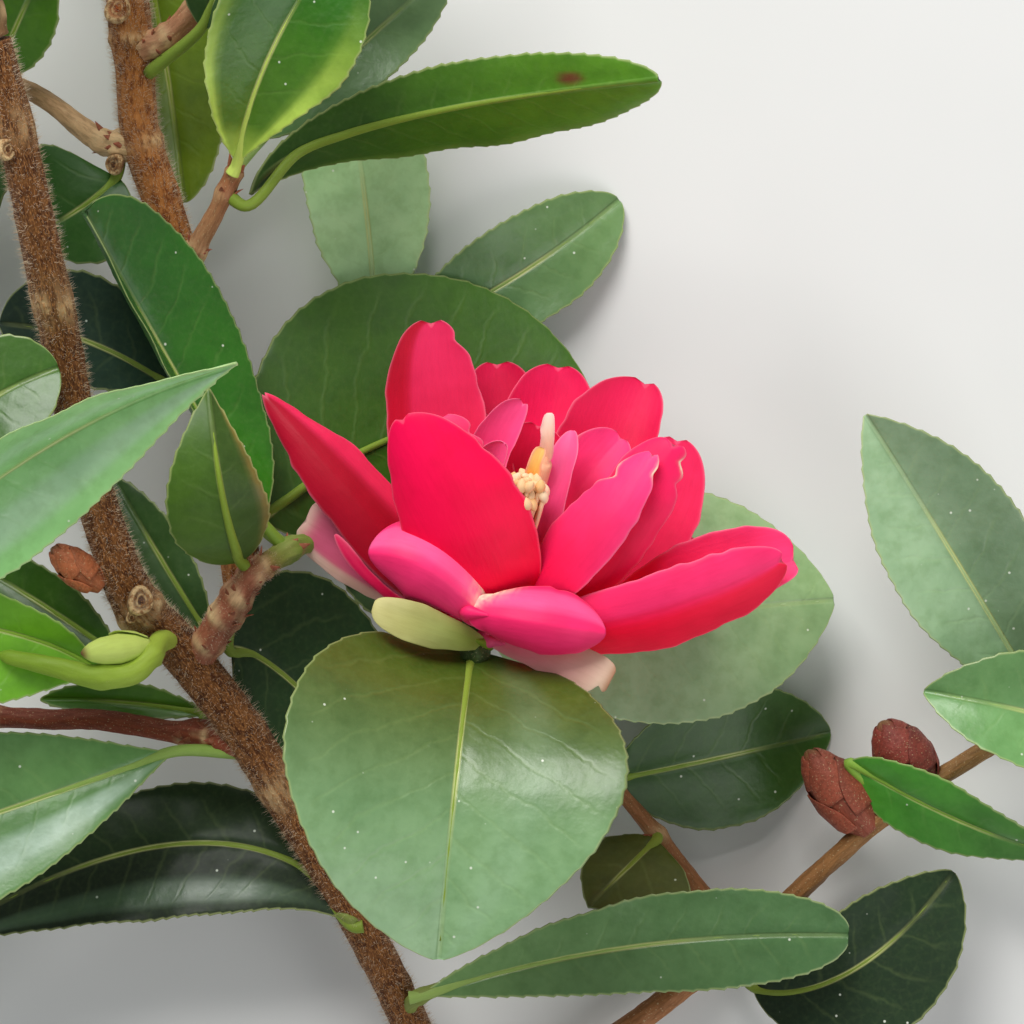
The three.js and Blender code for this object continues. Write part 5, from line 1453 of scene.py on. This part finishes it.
def bud_parts(foot, tip, radius, colour, scales):
    """The egg, and its scales: scale k starts 0.02 + 0.11 k along the egg and covers a half angle of
    66 (1 - 0.97 v^3) degrees, where v goes from its foot to its point."""
    foot, tip = np.array(foot, float), np.array(tip, float)
    way = unit(tip - foot)
    level = unit(np.cross(way, [0.1, 0.2, 1]))
    woody, shade = (1.0, 0.8) if scales > 2 else (0.15, 1.0)
    t = np.linspace(0, 1, 30)
    egg = tube(foot + (tip - foot) * t[:, None], radius * 0.93 * egg_share(t), 28)
    brown = np.exp(-((1 - t) / 0.06) ** 2)[:, None, None]
    skin = blend(paint(*colour) * shade, paint(120, 84, 50), brown)
    k = np.arange(scales)[:, None, None]
    v = np.linspace(0, 1, 16)[:, None]
    ring = angles(20)
    start, reach = 0.02 + 0.11 * k, 0.50 + 0.03 * k
    place = start + reach * v * np.minimum(1, (0.98 - start) / reach)
    angle = np.radians(150.0 * k + 20) + np.cos(ring) * np.radians(66) * (1 - 0.97 * v ** 3)
    height = radius * egg_share(place) * (1.0 - 0.012 * k) + 0.1 + 0.12 * np.sin(ring) + 0.12 * v
    spoke = np.cos(angle)[..., None] * level + np.sin(angle)[..., None] * np.cross(way, level)
    scale = place[..., None] * (tip - foot) + height[..., None] * spoke
    dark = (1 - 0.35 * v ** 2 + 0.15 * np.sin(k * 2.4))[..., None]
    return [rings(egg, with_mark(skin, woody), round_flow(28, 2, 9 * t)),
            rings(foot + scale, with_mark(paint(*colour) * dark, woody), scale)]


for number, (*bud, on) in enumerate(BUDS):
    make_piece(f"{on}_bud_{number}", bud_parts(*bud), YOUNG_WOOD, [on])

# %% [markdown]
# ## Hairs
# Young camellia wood is downy: short pale hairs all over, which soften its outline. A particle
# system would grow them too, but here each hair is a three-sided spike of six triangles, and all
# of them are placed with whole arrays from seeded random numbers.

# %% Hairs
HAIR_RADIUS = 0.026


def hairs_on(rows, count, length, seed, end=1.0):
    """Spikes from random places on a stem, leaning forward along it: ring round the foot, then the tip."""
    rng = np.random.default_rng(seed)
    at = np.sort(rng.uniform(0, end, count))
    foot, out, along = spots_on(rows, at, rng.uniform(0, 2 * np.pi, count), 600, 0.96)
    lean = unit(out + along * rng.uniform(-0.1, 0.6, (count, 1)) + rng.normal(0, 0.25, (count, 3)))
    tip = foot + lean * (length * rng.uniform(0.5, 1.1, (count, 1)))
    level = squared(along, lean)
    ring = HAIR_RADIUS * circle(angles(3), level, np.cross(lean, level))
    colour = blend(paint(168, 124, 84), paint(222, 196, 156), rng.uniform(0, 1, (count, 1, 1, 1)))
    return rings((foot[:, None] + ring)[:, None], with_mark(colour), ring[:, None], ends=(foot, tip))


def hair_finish():
    """Pale down: the tint, whitened a little by noise, with a broad sheen."""
    down = Finish("pale_down", Sheen_Weight=0.4, Roughness=0.8)
    whiter = down.step(down.grain(down.place, 500), 0.4, 0.7, 0, 0.4)
    return down.done(down.layered((whiter, (0.8, 0.75, 0.6))))


DOWN = hair_finish()
for number, (name, rows) in enumerate(STEMS):
    hairs = hairs_on(rows, 16000 - 5000 * number, 1.1, 500 + number)
    make_piece(f"{name}_hairs", [hairs], DOWN, [name])
hairs = hairs_on(dict(SPRAYS[0][1])["flower_twig"], 1500, 0.7, 510, end=0.45)
make_piece("flower_spray_hairs", [hairs], DOWN, ["flower_spray"])

# %% [markdown]
# ## Floor and light
# A plain pale floor and soft studio light: one large lamp over the far side, as the sky was, a
# weaker one from the near right, and a grey world that fills the shadows. A picture of a real sky
# could light it too, but it would put its own colours on the leaves.

# %% Floor and lamps
def plain_floor(half):
    """A flat square under the branch with a very faint grain."""
    mesh = bpy.data.meshes.new("floor")
    corners = [(-half, -half, 0), (half, -half, 0), (half, half, 0), (-half, half, 0)]
    mesh.from_pydata(corners, [], [(0, 1, 2, 3)])
    floor = bpy.data.objects.new("floor", mesh)
    pale = Finish("pale_floor", Roughness=0.9)
    faint = pale.mix(pale.grain(pale.place, 30), (0.74, 0.74, 0.72), (0.78, 0.78, 0.76))
    mesh.materials.append(pale.done(faint))
    bpy.context.scene.collection.objects.link(floor)


def lamp(name, place, size, power, colour=(1, 1, 1)):
    """A square area lamp at place, aimed at the middle of the branch."""
    data = bpy.data.lights.new(name, "AREA")
    data.size = size
    data.energy = power
    data.color = colour
    made = bpy.data.objects.new(name, data)
    made.location = place
    aim = np.array([0, 0, 0.03]) - np.array(place)
    pitch = math.acos(-aim[2] / np.linalg.norm(aim))
    made.rotation_euler = (pitch, 0, math.atan2(aim[1], aim[0]) - math.pi / 2)
    bpy.context.scene.collection.objects.link(made)


plain_floor(3.0)
lamp("sky_lamp", (-0.25, 0.72, 0.7), 0.6, 11.5, (1.0, 0.99, 0.97))
lamp("near_lamp", (0.55, -0.5, 0.6), 0.7, 3.2)
world = bpy.data.worlds.new("studio")
world.use_nodes = True
grey_sky = world.node_tree.nodes["Background"]
grey_sky.inputs["Color"].default_value = (0.93, 0.96, 1.0, 1)
grey_sky.inputs["Strength"].default_value = 0.28
bpy.context.scene.world = world
